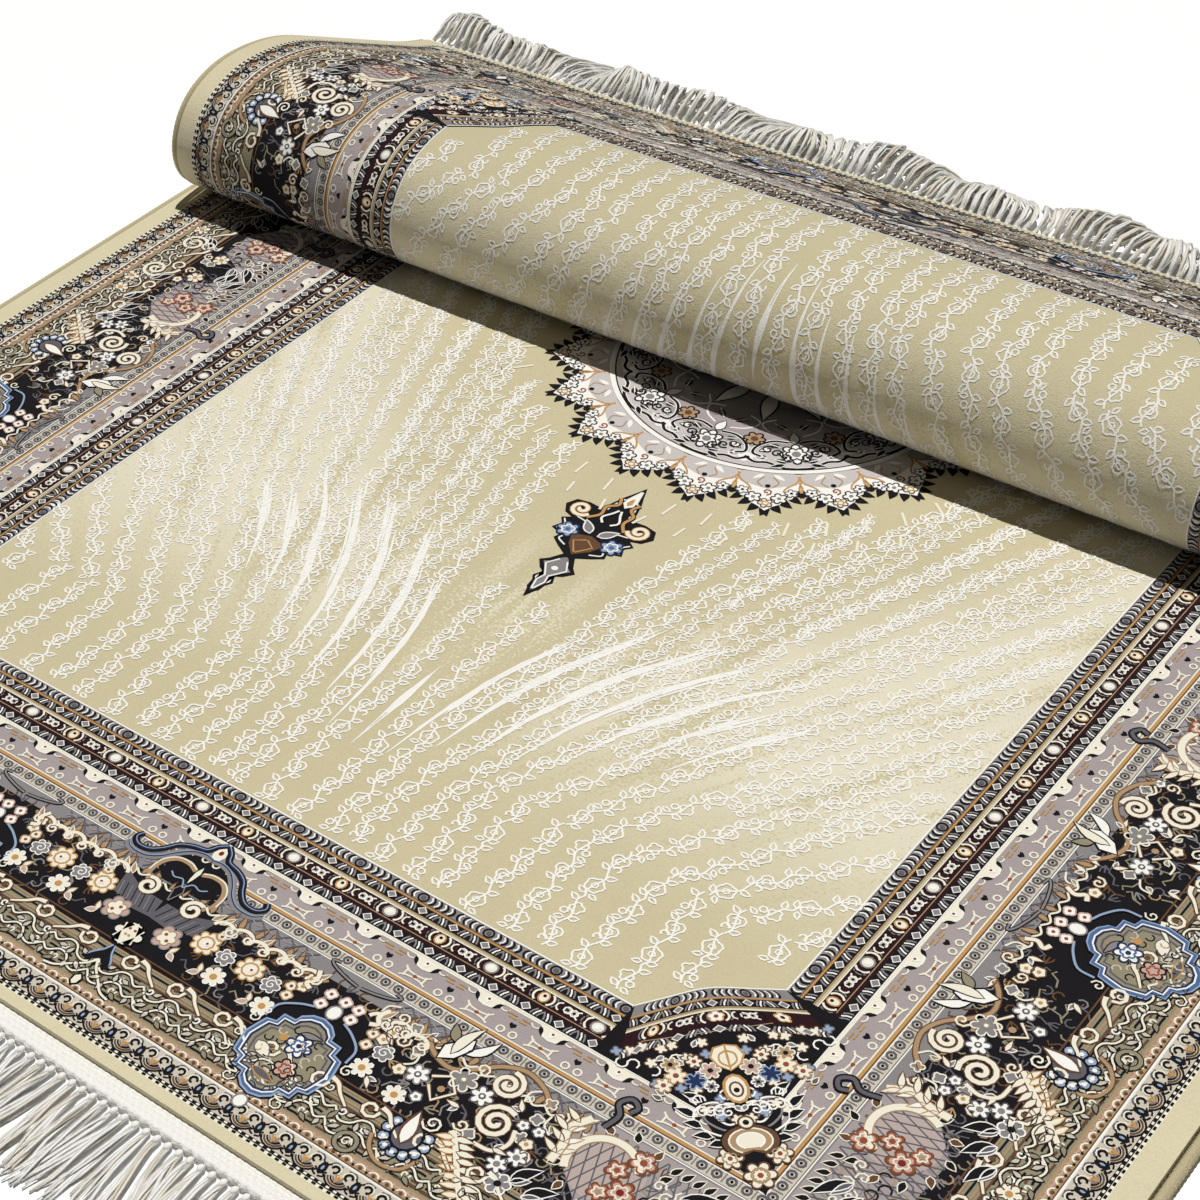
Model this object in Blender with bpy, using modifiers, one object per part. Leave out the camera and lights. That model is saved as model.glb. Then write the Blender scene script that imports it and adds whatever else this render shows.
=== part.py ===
"""A fringed rug whose far end is turned back over itself in one loose S fold.

Metres, +Z up. The rug's width runs along X and its length along Y, near end at -Y, with its pile side up
where it lies flat. Places on the rug are given as on the unfolded rug: "across" from its middle line and
"along" from the outer line of the near end's border. folded() turns them into places in space.
"""

import math

import bpy
import numpy as np

# The unfolded rug.
HALF_WIDTH = 0.500
DESIGN_LENGTH = 1.424  # between the outer lines of the two end borders
GUARD = 0.007  # plain pile outside those lines, at both ends
CARPET_THICKNESS = 0.008
GAP = 0.0003  # kept between two pieces that touch

# The rolled edge binding sewn on each long side.
BINDING_RADIUS = 0.0034
BINDING_RESOLUTION = 2
BINDING_MIDDLE = HALF_WIDTH - BINDING_RADIUS
CARPET_HALF_WIDTH = BINDING_MIDDLE - BINDING_RADIUS - GAP

# The white heading tape sewn on each end, and the fringe of tassels tied into it.
HEADING_DEPTH = 0.0125
HEADING_THICKNESS = 0.005
HEADING_LOWERED = 0.0013  # below the middle of the rug's thickness, so that it lies on the floor
FRINGE_THICKNESS = 0.004
FRINGE_LOWERED = 0.0018  # likewise
FRINGE_SPINE = 0.004  # from the tape to where the tassels part
TASSEL_COUNT = 139
TASSEL_SHARE = 0.70  # of its pitch that each tassel fills
TASSEL_LENGTH = 0.064
TASSEL_UNEVEN = 0.005
FAR_TASSEL_BEND = 0.45  # share of the length at which a far tassel reaches the floor

# The fold, from the near end to the far end: how long each stretch is and how far it turns.
# Positive turns lift the rug and lay it back towards the near end.
FOLD = (
    # stretch, length, turn in degrees
    ("flat on the floor", 0.835, 0),
    ("rear bend", 0.067, 193),
    ("middle layer", 0.133, 0),
    ("front bend, lower half", 0.070, -107),
    ("front bend, upper half", 0.049, -61),
    ("crest", 0.038, -25),
    ("shoulder", 0.080, -25),
    ("top layer", 0.125, 0),
    ("foot", 0.050, 10),
    ("far heading", 0.021, 0),
    ("far fringe, coming down", 0.030, 15),
    ("far fringe, on the floor", 0.050, 0),
)
FOLD_SKEW = math.radians(1.3)  # the fold's lines against the rug's ends
SECTION_STEP = 0.001
BLEND = 0.015  # length over which one stretch passes into the next
NEAR_RUN = 0.12  # flat length before the design's origin, for the near heading and fringe

# A line across the carpet, where its faces meet, comes at least this often.
LINE_TURN = math.radians(6)
LINE_LENGTH = 0.06

COLOURS = {
    # finish: colour, roughness
    "pile": ((0.55, 0.48, 0.34), 0.90),
    "binding": ((0.62, 0.56, 0.44), 0.85),
    "cotton": ((0.86, 0.85, 0.80), 0.95),
}


def clear_scene():
    for item in list(bpy.data.objects):
        bpy.data.objects.remove(item)


def make_section():
    """Stations, places and headings of the middle of the rug's thickness, seen along the fold's lines."""
    along = np.arange(-NEAR_RUN, sum(length for _, length, _ in FOLD), SECTION_STEP)
    joints = np.cumsum([0.0] + [length for _, length, _ in FOLD])
    turned = np.radians(np.cumsum([0.0] + [turn for _, _, turn in FOLD]))
    window = np.full(round(BLEND / SECTION_STEP), SECTION_STEP / BLEND)
    heading = np.pad(np.interp(along, joints, turned), len(window) // 2, mode="edge")
    heading = np.convolve(heading, window, mode="valid")[: len(along)]
    y = -NEAR_RUN + np.concatenate([[0], np.cumsum(np.cos(heading[:-1]))]) * SECTION_STEP
    z = np.concatenate([[0], np.cumsum(np.sin(heading[:-1]))]) * SECTION_STEP
    return along, y, z + CARPET_THICKNESS / 2, heading


SECTION = make_section()


def folded(across, along, raised=0.0):
    """The place in space of a point of the unfolded rug, raised towards its pile side."""
    c, s = math.cos(FOLD_SKEW), math.sin(FOLD_SKEW)
    station = along * c - across * s
    y, z, heading = (np.interp(station, SECTION[0], values) for values in SECTION[1:])
    x = across * c + along * s
    y, z = y - raised * math.sin(heading), z + raised * math.cos(heading)
    return x * c - y * s, x * s + y * c, z


def along_at(station, across):
    """Where a line of the fold meets a lengthwise line of the rug."""
    return (station + across * math.sin(FOLD_SKEW)) / math.cos(FOLD_SKEW)


def fold_lines(first, last):
    """Stations of the lines that cross the rug between two places along it."""
    stations, _, _, heading = SECTION
    turned = np.concatenate([[0], np.cumsum(np.abs(np.diff(heading)))])
    count = turned / LINE_TURN + (stations - stations[0]) / LINE_LENGTH
    lines = np.interp(np.arange(0, count[-1]), count, stations)
    margin = HALF_WIDTH * math.sin(FOLD_SKEW) + 2 * SECTION_STEP
    return [line for line in lines if first + margin < line < last - margin]


def material(name):
    colour, roughness = COLOURS[name]
    made = bpy.data.materials.get(name) or bpy.data.materials.new(name)
    made.use_nodes = True
    shader = made.node_tree.nodes["Principled BSDF"]
    shader.inputs["Base Color"].default_value = (*colour, 1.0)
    shader.inputs["Roughness"].default_value = roughness
    return made


def add_object(name, data, finish, frame):
    made = bpy.data.objects.new(name, data)
    made.data.materials.append(material(finish))
    made.parent = frame
    frame.users_collection[0].objects.link(made)
    return made


def add_sheet(name, points, faces, thickness, finish, frame):
    """A solid sheet, from the open surface in the middle of its thickness."""
    mesh = bpy.data.meshes.new(name)
    mesh.from_pydata(points, [], faces)
    sheet = add_object(name, mesh, finish, frame)
    thicken = sheet.modifiers.new("thickness", "SOLIDIFY")
    thicken.thickness = thickness
    thicken.offset = 0.0
    thicken.use_even_offset = True
    return sheet


def add_strip(name, half_width, first, last, lowered, thickness, finish, frame):
    """A sheet right across the rug, between two places along it."""
    ends = [(first, first)]
    for line in fold_lines(first, last):
        ends.append((along_at(line, -half_width), along_at(line, half_width)))
    ends.append((last, last))
    points = []
    for left, right in ends:
        points += [folded(-half_width, left, -lowered), folded(half_width, right, -lowered)]
    faces = [(2 * i, 2 * i + 1, 2 * i + 3, 2 * i + 2) for i in range(len(ends) - 1)]
    return add_sheet(name, points, faces, thickness, finish, frame)


def add_binding(name, across, frame):
    """The rolled edge along one long side, a tube that follows the fold."""
    first, last = -GUARD, DESIGN_LENGTH + GUARD
    stops = [first] + [along_at(line, across) for line in fold_lines(first, last)] + [last]
    curve = bpy.data.curves.new(name, "CURVE")
    curve.dimensions = "3D"
    curve.bevel_depth = BINDING_RADIUS
    curve.bevel_resolution = BINDING_RESOLUTION
    curve.use_fill_caps = True
    spline = curve.splines.new("POLY")
    spline.points.add(len(stops) - 1)
    for point, along in zip(spline.points, stops):
        point.co = (*folded(across, along), 1.0)
    return add_object(name, curve, "binding", frame)


def tassel_length(index):
    """Tassels are combed unevenly, so that their tips make a wavering line."""
    wave = math.sin(0.37 * index) + 0.6 * math.sin(1.13 * index + 0.8) + 0.4 * math.sin(2.9 * index)
    return TASSEL_LENGTH + TASSEL_UNEVEN * wave / 2


def add_fringe(name, start, outward, bends, frame):
    """One comb: a spine along the tape and a tooth for each tassel. outward is -1 or 1 along the rug."""
    pitch = 2 * HALF_WIDTH / (TASSEL_COUNT - 1 + TASSEL_SHARE)

    def point(across, out):
        return folded(across, start + outward * out, -FRINGE_LOWERED)

    points = [point(-HALF_WIDTH, 0.0), point(HALF_WIDTH, 0.0)]
    spine, faces = [], []
    for index in range(TASSEL_COUNT):
        left = -HALF_WIDTH + index * pitch
        right = left + pitch * TASSEL_SHARE
        length = tassel_length(index)
        base = len(points)
        spine += [base, base + 1]
        for out in (FRINGE_SPINE, *(length * share for share in bends), length):
            points += [point(left, out), point(right, out)]
        faces += [(a, a + 1, a + 3, a + 2)[:: -outward] for a in range(base, len(points) - 2, 2)]
    faces.append(([0] + spine + [1])[::outward])
    return add_sheet(name, points, faces, FRINGE_THICKNESS, "cotton", frame)


def centre_over_origin(frame):
    """Puts the middle of the whole rug's box over the world's origin. Its underside is already at zero."""
    bpy.context.view_layer.update()
    graph = bpy.context.evaluated_depsgraph_get()
    points = np.array([vertex.co for child in frame.children
                       for vertex in child.evaluated_get(graph).to_mesh().vertices])
    middle = (points.min(axis=0) + points.max(axis=0)) / 2
    frame.location = (-middle[0], -middle[1], 0.0)
    bpy.context.view_layer.update()


def main():
    clear_scene()
    collection = bpy.data.collections.new("rolled_up_carpet")
    bpy.context.scene.collection.children.link(collection)
    frame = bpy.data.objects.new("rug_frame", None)
    collection.objects.link(frame)

    near, far = -GUARD, DESIGN_LENGTH + GUARD
    add_strip("carpet", CARPET_HALF_WIDTH, near, far, 0.0, CARPET_THICKNESS, "pile", frame)
    add_binding("left_binding", -BINDING_MIDDLE, frame)
    add_binding("right_binding", BINDING_MIDDLE, frame)
    tape = GAP + HEADING_DEPTH
    tapes = (
        ("near_heading", near - tape, near - GAP),
        ("far_heading", far + GAP, far + tape),
    )
    for name, first, last in tapes:
        add_strip(name, HALF_WIDTH, first, last, HEADING_LOWERED, HEADING_THICKNESS, "cotton", frame)
    add_fringe("near_fringe", near - tape - GAP, -1, (), frame)
    add_fringe("far_fringe", far + tape + GAP, 1, (FAR_TASSEL_BEND,), frame)
    centre_over_origin(frame)


main()
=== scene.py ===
"""Looks for the folded fringed rug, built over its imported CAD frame.

The rug's design is drawn flat and then folded. Design places are (x, y) in widths of the design: x is 0 on the
rug's long middle line, and y is 0 on the outer line of the near end's border. UNIT turns them into metres.
"""

import math

import bpy
import numpy as np
from mathutils import Matrix, Vector

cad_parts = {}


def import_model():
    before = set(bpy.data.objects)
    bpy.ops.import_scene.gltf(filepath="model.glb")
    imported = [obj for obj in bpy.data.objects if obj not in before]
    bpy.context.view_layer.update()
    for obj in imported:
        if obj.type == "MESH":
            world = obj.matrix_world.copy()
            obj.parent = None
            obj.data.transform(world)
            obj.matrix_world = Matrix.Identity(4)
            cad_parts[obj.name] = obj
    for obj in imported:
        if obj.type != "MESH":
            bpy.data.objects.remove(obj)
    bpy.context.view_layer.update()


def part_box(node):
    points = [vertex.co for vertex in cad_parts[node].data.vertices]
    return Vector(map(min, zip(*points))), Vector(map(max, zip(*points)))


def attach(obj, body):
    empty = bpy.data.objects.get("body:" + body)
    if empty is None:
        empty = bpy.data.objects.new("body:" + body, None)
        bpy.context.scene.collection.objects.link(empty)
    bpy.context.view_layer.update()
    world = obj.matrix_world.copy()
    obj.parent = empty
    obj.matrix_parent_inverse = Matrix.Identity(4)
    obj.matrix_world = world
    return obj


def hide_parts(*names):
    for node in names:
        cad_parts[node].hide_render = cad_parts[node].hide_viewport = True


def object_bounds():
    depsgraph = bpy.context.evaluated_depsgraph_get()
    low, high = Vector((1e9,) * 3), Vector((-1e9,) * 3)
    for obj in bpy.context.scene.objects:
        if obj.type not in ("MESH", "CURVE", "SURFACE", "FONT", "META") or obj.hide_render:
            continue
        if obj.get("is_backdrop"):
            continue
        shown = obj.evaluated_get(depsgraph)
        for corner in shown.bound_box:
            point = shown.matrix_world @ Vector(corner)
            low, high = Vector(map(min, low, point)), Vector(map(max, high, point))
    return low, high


# ---------------------------------------------------------------- sizes, as in the CAD part

UNIT = 0.956  # one design width, in metres
DESIGN_LENGTH = 1.424 / UNIT
HALF_LENGTH = DESIGN_LENGTH / 2
EDGE = 0.4928 / UNIT  # where the pile meets the side bindings
GUARD = 0.007 / UNIT
THICKNESS = 0.008
BINDING_RADIUS = 0.0034
BINDING_MIDDLE = 0.4966
HEADING_DEPTH = 0.0125
HEADING_LOWERED = 0.0013
TASSEL_COUNT = 139
TASSEL_LENGTH = 0.064

FOLD = (
    # stretch, length, turn in degrees
    ("flat on the floor", 0.835, 0),
    ("rear bend", 0.067, 193),
    ("middle layer", 0.133, 0),
    ("front bend, lower half", 0.07, -107),
    ("front bend, upper half", 0.049, -61),
    ("crest", 0.038, -25),
    ("shoulder", 0.08, -25),
    ("top layer", 0.125, 0),
    ("foot", 0.05, 10),
    ("far heading", 0.021, 0),
    ("far fringe, coming down", 0.03, 15),
    ("far fringe, on the floor", 0.05, 0),
)
FOLD_SKEW = math.radians(1.3)
SECTION_STEP = 0.001
BLEND = 0.015
NEAR_RUN = 0.12


def make_section():
    """Stations, places and headings of the middle of the rug's thickness, seen along the fold's lines."""
    along = np.arange(-NEAR_RUN, sum(length for _, length, _ in FOLD), SECTION_STEP)
    joints = np.cumsum([0.0] + [length for _, length, _ in FOLD])
    turned = np.radians(np.cumsum([0.0] + [turn for _, _, turn in FOLD]))
    window = np.full(round(BLEND / SECTION_STEP), SECTION_STEP / BLEND)
    heading = np.pad(np.interp(along, joints, turned), len(window) // 2, mode="edge")
    heading = np.convolve(heading, window, mode="valid")[: len(along)]
    y = -NEAR_RUN + np.concatenate([[0], np.cumsum(np.cos(heading[:-1]))]) * SECTION_STEP
    z = np.concatenate([[0], np.cumsum(np.sin(heading[:-1]))]) * SECTION_STEP
    return along, y, z + THICKNESS / 2, heading


SECTION = make_section()
ORIGIN = [0.0, 0.0]  # the design's origin in the world, set from the CAD carpet's box


def folded(across, along, raised):
    """World places of points of the unfolded rug, in metres, raised from its mid-thickness to the pile side."""
    across, along, raised = np.broadcast_arrays(*(np.asarray(v, float) for v in (across, along, raised)))
    c, s = math.cos(FOLD_SKEW), math.sin(FOLD_SKEW)
    station = along * c - across * s
    y, z, heading = (np.interp(station, SECTION[0], values) for values in SECTION[1:])
    x = across * c + along * s
    y, z = y - raised * np.sin(heading), z + raised * np.cos(heading)
    return np.stack([x * c - y * s + ORIGIN[0], x * s + y * c + ORIGIN[1], z], axis=-1)


# ---------------------------------------------------------------- materials

COLOURS = {
    # yarn: sRGB
    "beige": (206, 196, 160),
    # edge: the plain outer band's own beige yarn, made paler as a painted highlight of the strong light along the
    # rug's edges
    "edge": (220, 211, 178),
    "cream": (243, 238, 220),
    "linen": (206, 198, 182),
    "white": (250, 248, 243),
    "black": (21, 19, 23),
    "maroon": (44, 18, 24),
    "brown": (104, 74, 52),
    "gold": (196, 150, 92),
    "tan": (176, 146, 112),
    "lilac": (168, 158, 158),
    "pale": (204, 198, 196),
    "shell": (188, 172, 166),
    "grey": (138, 134, 136),
    "slate": (98, 96, 104),
    "olive": (148, 141, 118),
    "navy": (36, 52, 92),
    "blue": (78, 108, 156),
    "sky": (150, 170, 200),
    "rust": (150, 78, 48),
    "red": (126, 36, 28),
    "rose": (200, 168, 156),
}


def linear(colour):
    """Scene-linear values of an sRGB colour given as three numbers up to 255."""
    c = np.asarray(colour) / 255
    return tuple(np.where(c <= 0.04045, c / 12.92, ((c + 0.055) / 1.055) ** 2.4))


class Nodes:
    """A short way to write a material's nodes."""

    def __init__(self, material):
        self.tree = material.node_tree
        self.shader = self.tree.nodes["Principled BSDF"]

    def add(self, kind, inputs=None, **settings):
        node = self.tree.nodes.new("ShaderNode" + kind)
        for name, value in settings.items():
            setattr(node, name, value)
        for name, value in (inputs or {}).items():
            self.put(node.inputs[name], value)
        return node

    def put(self, socket, value):
        if isinstance(value, bpy.types.NodeSocket):
            self.tree.links.new(value, socket)
        else:
            socket.default_value = value

    def math(self, operation, *values):
        node = self.add("Math", operation=operation)
        for socket, value in zip(node.inputs, values):
            self.put(socket, value)
        return node.outputs[0]


def new_material(name, colour, roughness=0.9, sheen=0.15):
    material = bpy.data.materials.new(name)
    material.use_nodes = True
    nodes = Nodes(material)
    nodes.put(nodes.shader.inputs["Base Color"], (*linear(colour), 1.0))
    nodes.put(nodes.shader.inputs["Roughness"], roughness)
    nodes.put(nodes.shader.inputs["Specular IOR Level"], 0.2)
    nodes.put(nodes.shader.inputs["Sheen Weight"], sheen)
    nodes.put(nodes.shader.inputs["Sheen Roughness"], 0.5)
    return material, nodes


def rug_place(nodes):
    """Places on the unfolded rug, in millimetres."""
    place = nodes.add("UVMap", uv_map="rug")
    scaled = nodes.add("VectorMath", {0: place.outputs[0], 1: (1000, 1000, 0)}, operation="MULTIPLY")
    return scaled.outputs[0]


KNOT = (0.9, 1.1)  # millimetres across and along the rug


def pile_bump(nodes, place):
    """Rows of cut knots, softened where the yarn ends spread."""
    stretched = nodes.add("VectorMath", {0: place, 1: (1 / KNOT[0], 1 / KNOT[1], 1)}, operation="MULTIPLY")
    cells = nodes.add("TexVoronoi", {"Vector": stretched.outputs[0], "Scale": 1.0, "Randomness": 0.75})
    fuzz = nodes.add("TexNoise", {"Vector": place, "Scale": 1.7, "Detail": 3.0, "Roughness": 0.7})
    tuft = nodes.math("SUBTRACT", fuzz.outputs[0], cells.outputs["Distance"])
    bump = nodes.add("Bump", {"Height": tuft, "Strength": 0.35, "Distance": 0.0012})
    nodes.put(nodes.shader.inputs["Normal"], bump.outputs[0])
    return tuft


def sheen_of(name, soft):
    """Pale yarn has a soft sheen, and dark yarn hardly any."""
    return soft if min(COLOURS[name]) > 130 else 0.02


def yarn(name):
    """Plain-coloured pile for the drawn pattern: all its colours share the ground's knots."""
    found = bpy.data.materials.get("yarn_" + name)
    if found:
        return found
    material, nodes = new_material("yarn_" + name, COLOURS[name], sheen=sheen_of(name, 0.3))
    pile_bump(nodes, rug_place(nodes))
    return material


def tint(nodes, colour, light):
    """Sets the base colour, made lighter or darker from place to place."""
    tinted = nodes.add("VectorMath", {0: colour, 3: light}, operation="SCALE")
    nodes.put(nodes.shader.inputs["Base Color"], tinted.outputs[0])


def knot_shade_and_dye(nodes, tuft, *patches):
    """The light of pile: painted shade in the hollows between the knots, where the tufts' bump is low, and wider
    patches of it that took the dye unevenly.
    """
    # painted shade: the colour follows the knots' bump height, darker in the hollows between the tufts
    light = nodes.math("MULTIPLY_ADD", tuft, 0.16, 1.02)
    for patch in patches:
        light = nodes.math("MULTIPLY_ADD", nodes.math("SUBTRACT", patch.outputs[0], 0.5), 0.1, light)
    return light


def ground(name):
    """Pile of the rug's ground, its colour varying from knot to knot, darker between the knots as painted shade, and
    in faint weft streaks.
    """
    material, nodes = new_material("ground_" + name, COLOURS[name], sheen=sheen_of(name, 0.4))
    place = rug_place(nodes)
    tuft = pile_bump(nodes, place)
    streak_place = nodes.add("VectorMath", {0: place, 1: (0.02, 0.9, 1)}, operation="MULTIPLY")
    streak = nodes.add("TexNoise", {"Vector": streak_place.outputs[0], "Scale": 0.6, "Detail": 2.0})
    cloud = nodes.add("TexNoise", {"Vector": place, "Scale": 0.02, "Detail": 3.0})
    tint(nodes, linear(COLOURS[name]), knot_shade_and_dye(nodes, tuft, streak, cloud))
    return material


def smooth_between(nodes, value, low, high):
    """0 up to low, 1 from high, and smooth between them."""
    return nodes.add("MapRange", {"Value": value, "From Min": low, "From Max": high},
                     interpolation_type="SMOOTHSTEP").outputs[0]


def field_ground():
    """The field: beige, paler in streaks that spread like a fan from each end, clear round the medallion."""
    material, nodes = new_material("ground_field", COLOURS["beige"], sheen=0.4)
    place = rug_place(nodes)
    tuft = pile_bump(nodes, place)
    parts = nodes.add("SeparateXYZ", {0: place})
    length = DESIGN_LENGTH * UNIT * 1000
    x = nodes.math("ABSOLUTE", parts.outputs[0])
    near = nodes.math("MINIMUM", parts.outputs[1], nodes.math("SUBTRACT", length, parts.outputs[1]))
    angle = nodes.math("DIVIDE", x, nodes.math("ADD", near, 20.0))
    fan = nodes.add("CombineXYZ", {0: nodes.math("MULTIPLY", angle, 26.0), 1: nodes.math("MULTIPLY", near, 0.007)})
    streak = nodes.add("TexNoise", {"Vector": fan.outputs[0], "Scale": 1.0, "Detail": 2.5, "Roughness": 0.6})
    speck = nodes.add("TexNoise", {"Vector": place, "Scale": 0.5, "Detail": 2.0, "Roughness": 0.6})
    from_middle = nodes.add("VectorMath", {0: place, 1: (0, length / 2, 0)}, operation="DISTANCE")
    share = nodes.math("MULTIPLY", smooth_between(nodes, near, 235.0, 400.0),
                       smooth_between(nodes, from_middle.outputs["Value"], 200.0, 330.0))
    edge = smooth_between(nodes, angle, 0.1, 0.42)
    threshold = nodes.math("MULTIPLY_ADD", edge, -0.22, 0.56)
    speckled = nodes.math("ADD", streak.outputs[0], nodes.math("MULTIPLY_ADD", speck.outputs[0], 1.1, -0.55))
    pale = nodes.math("SUBTRACT", speckled, threshold)
    pale = nodes.math("MULTIPLY", smooth_between(nodes, pale, -0.05, 0.1), share)
    mixed = nodes.add("Mix", {"Factor": nodes.math("MULTIPLY", pale, 0.66)}, data_type="RGBA")
    nodes.put(mixed.inputs[6], (*linear(COLOURS["beige"]), 1.0))
    nodes.put(mixed.inputs[7], (*linear(COLOURS["cream"]), 1.0))
    cloud = nodes.add("TexNoise", {"Vector": place, "Scale": 0.02, "Detail": 3.0})
    # the knots darker in their hollows as painted shade, and a faint cloud of uneven dye
    tint(nodes, mixed.outputs[2], knot_shade_and_dye(nodes, tuft, cloud))
    return material


def backing(name, colour):
    """The woven back: ribs of weft with the knots' colours dulled and mottled, darker in the hollows of the ribs as
    painted shade.
    """
    material, nodes = new_material("back_" + name, colour, 0.95, 0.0)
    place = rug_place(nodes)
    ribs = nodes.add("TexWave", {"Vector": place, "Scale": 0.16, "Distortion": 0.6, "Detail": 1.0},
                     bands_direction="Y")
    knots = nodes.add("TexWave", {"Vector": place, "Scale": 0.3, "Distortion": 0.4}, bands_direction="X")
    mottle = nodes.add("TexNoise", {"Vector": place, "Scale": 0.25, "Detail": 4.0})
    height = nodes.math("MULTIPLY_ADD", knots.outputs["Fac"], 0.5, ribs.outputs["Fac"])
    bump = nodes.add("Bump", {"Height": height, "Strength": 0.5, "Distance": 0.0006})
    nodes.put(nodes.shader.inputs["Normal"], bump.outputs[0])
    light = nodes.math("MULTIPLY_ADD", mottle.outputs[0], 0.5, 0.72)
    # painted shade: lighter on the raised ribs and knots, darker in their hollows, following the bump's height
    tint(nodes, linear(colour), nodes.math("MULTIPLY_ADD", height, 0.08, light))
    return material


# ---------------------------------------------------------------- meshes

def link(name, data):
    """A new object in the scene."""
    made = bpy.data.objects.new(name, data)
    bpy.context.scene.collection.objects.link(made)
    return made


def strips(rows, count):
    """Neighbouring points a and b of every ring but the last, for rows of rings of count points each."""
    k = np.arange(count)
    first = np.arange(rows - 1)[:, None] * count
    return (first + k).ravel(), (first + (k + 1) % count).ravel()


def make_object(name, points, faces, slots, materials, uv=None, smooth=False):
    """A mesh object from arrays. faces are triangles or quads, uv is each point's place on the unfolded rug."""
    mesh = bpy.data.meshes.new(name)
    mesh.from_pydata(np.asarray(points).tolist(), [], np.asarray(faces).tolist())
    for material in materials:
        mesh.materials.append(material)
    if slots is not None:
        mesh.polygons.foreach_set("material_index", np.asarray(slots, np.int32))
    if uv is not None:
        corner = np.empty(len(mesh.loops), np.int32)
        mesh.loops.foreach_get("vertex_index", corner)
        layer = mesh.uv_layers.new(name="rug")
        layer.data.foreach_set("uv", np.asarray(uv)[corner].astype(np.float32).ravel())
    if smooth:
        mesh.shade_smooth()
    return link(name, mesh)


BANDS = (
    # distance from the design's outer line, inwards, where each ground begins, and its yarn
    # the plain outer band: beige, made paler as a painted highlight
    (-1.0, "edge"),
    (0.0, "cream"),
    (0.002, "black"),
    (0.0042, "linen"),
    (0.0185, "white"),
    (0.02, "tan"),
    (0.027, "olive"),
    (0.058, "black"),
    (0.111, "grey"),
    (0.1215, "black"),
    (0.1228, "linen"),
    (0.131, "gold"),
    (0.1335, "lilac"),
    (0.153, "cream"),
    (0.1552, "black"),
    (0.162, "maroon"),
    (0.1748, "beige"),
    (0.177, "black"),
    (0.1835, "gold"),
    (0.185, "grey"),
    (0.1925, "white"),
    (0.1935, "field"),
)
FIELD_EDGE = BANDS[-1][0]


def make_carpet():
    """The sheet: pile face in bands of ground, woven back, and edges. Lines across it follow the fold."""
    near, far = -GUARD, DESIGN_LENGTH + GUARD
    stops = np.array([start for start, _ in BANDS[1:]])
    xs = np.concatenate([[-EDGE], -0.5 + stops, np.linspace(-0.29, 0.29, 9), 0.5 - stops[::-1], [EDGE]])
    fine = np.arange(0.8, 1.46, 0.0036) / UNIT  # lines close together where the rug bends
    ys = np.concatenate([[near], stops, np.arange(0.2, 0.83, 0.04), fine, DESIGN_LENGTH - stops, [far]])
    xs = np.unique(np.round(xs, 6))
    ys = np.unique(np.round(ys[ys <= far], 6))
    ys = ys[np.concatenate([[True], np.diff(ys) > 2e-4])]
    grid_x, grid_y = np.meshgrid(xs, ys)
    across, along = grid_x.ravel() * UNIT, grid_y.ravel() * UNIT
    top = folded(across, along, THICKNESS / 2)
    bottom = folded(across, along, -THICKNESS / 2)
    count, columns, rows = len(across), len(xs), len(ys)
    corner = (np.arange(rows - 1)[:, None] * columns + np.arange(columns - 1)).ravel()
    quads = np.stack([corner, corner + 1, corner + columns + 1, corner + columns], axis=1)
    middle_x = (grid_x[:-1, :-1] + grid_x[1:, 1:]).ravel() / 2
    middle_y = (grid_y[:-1, :-1] + grid_y[1:, 1:]).ravel() / 2
    inward = np.minimum(0.5 - np.abs(middle_x), HALF_LENGTH - np.abs(middle_y - HALF_LENGTH))
    starts = np.array([start for start, _ in BANDS])
    band = np.searchsorted(starts, inward, side="right") - 1
    names = sorted({name for _, name in BANDS})
    slot_of_band = np.array([names.index(name) for _, name in BANDS])
    back_slot = np.where(inward > FIELD_EDGE, len(names), np.where(inward > 0, len(names) + 1, len(names)))
    rim = np.concatenate([
        np.arange(columns),
        np.arange(1, rows) * columns + columns - 1,
        (rows - 1) * columns + np.arange(columns - 2, -1, -1),
        np.arange(rows - 2, 0, -1) * columns,
    ])
    after = np.roll(rim, -1)
    side = np.stack([rim + count, after + count, after, rim], axis=1)
    faces = np.concatenate([quads, quads[:, ::-1] + count, side])
    # the sheet's cut sides take the edge yarn too, with its painted highlight
    slots = np.concatenate([slot_of_band[band], back_slot, np.full(len(side), names.index("edge"))])
    materials = [field_ground() if name == "field" else ground(name) for name in names]
    materials += [backing("field", (190, 182, 158)), backing("border", (150, 142, 134))]
    uv = np.stack([across, along], axis=1)
    carpet = make_object("pile_sheet", np.concatenate([top, bottom]), faces, slots, materials,
                         np.concatenate([uv, uv]), smooth=True)
    carpet.data.set_sharp_from_angle(angle=math.radians(40))
    return carpet


# ---------------------------------------------------------------- drawing in yarn

STAND = 0.0001  # metres that the whole drawing stands over the ground
LAYER = 0.00007  # metres that each layer of the drawing stands over the one below
SHINGLE = 0.0000025  # and between shapes of one layer, so that none lie in the same plane
APART = 1e-6  # and between a shape and its mirror images
REFLECTED_APART = 1.1e-6  # and between reflected motifs


def bow(points, count=12):
    """A smooth path through the points, count steps between each two."""
    p = np.asarray(points, float)
    p = np.vstack([2 * p[0] - p[1], p, 2 * p[-1] - p[-2]])
    t = np.linspace(0, 1, count, endpoint=False)[:, None]
    parts = []
    for a, b, c, d in zip(p, p[1:], p[2:], p[3:]):
        parts.append(0.5 * (2 * b + (c - a) * t + (2 * a - 5 * b + 4 * c - d) * t**2 + (3 * b - a - 3 * c + d)
                            * t**3))
    return np.vstack(parts + [p[-2:-1]])


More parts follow.
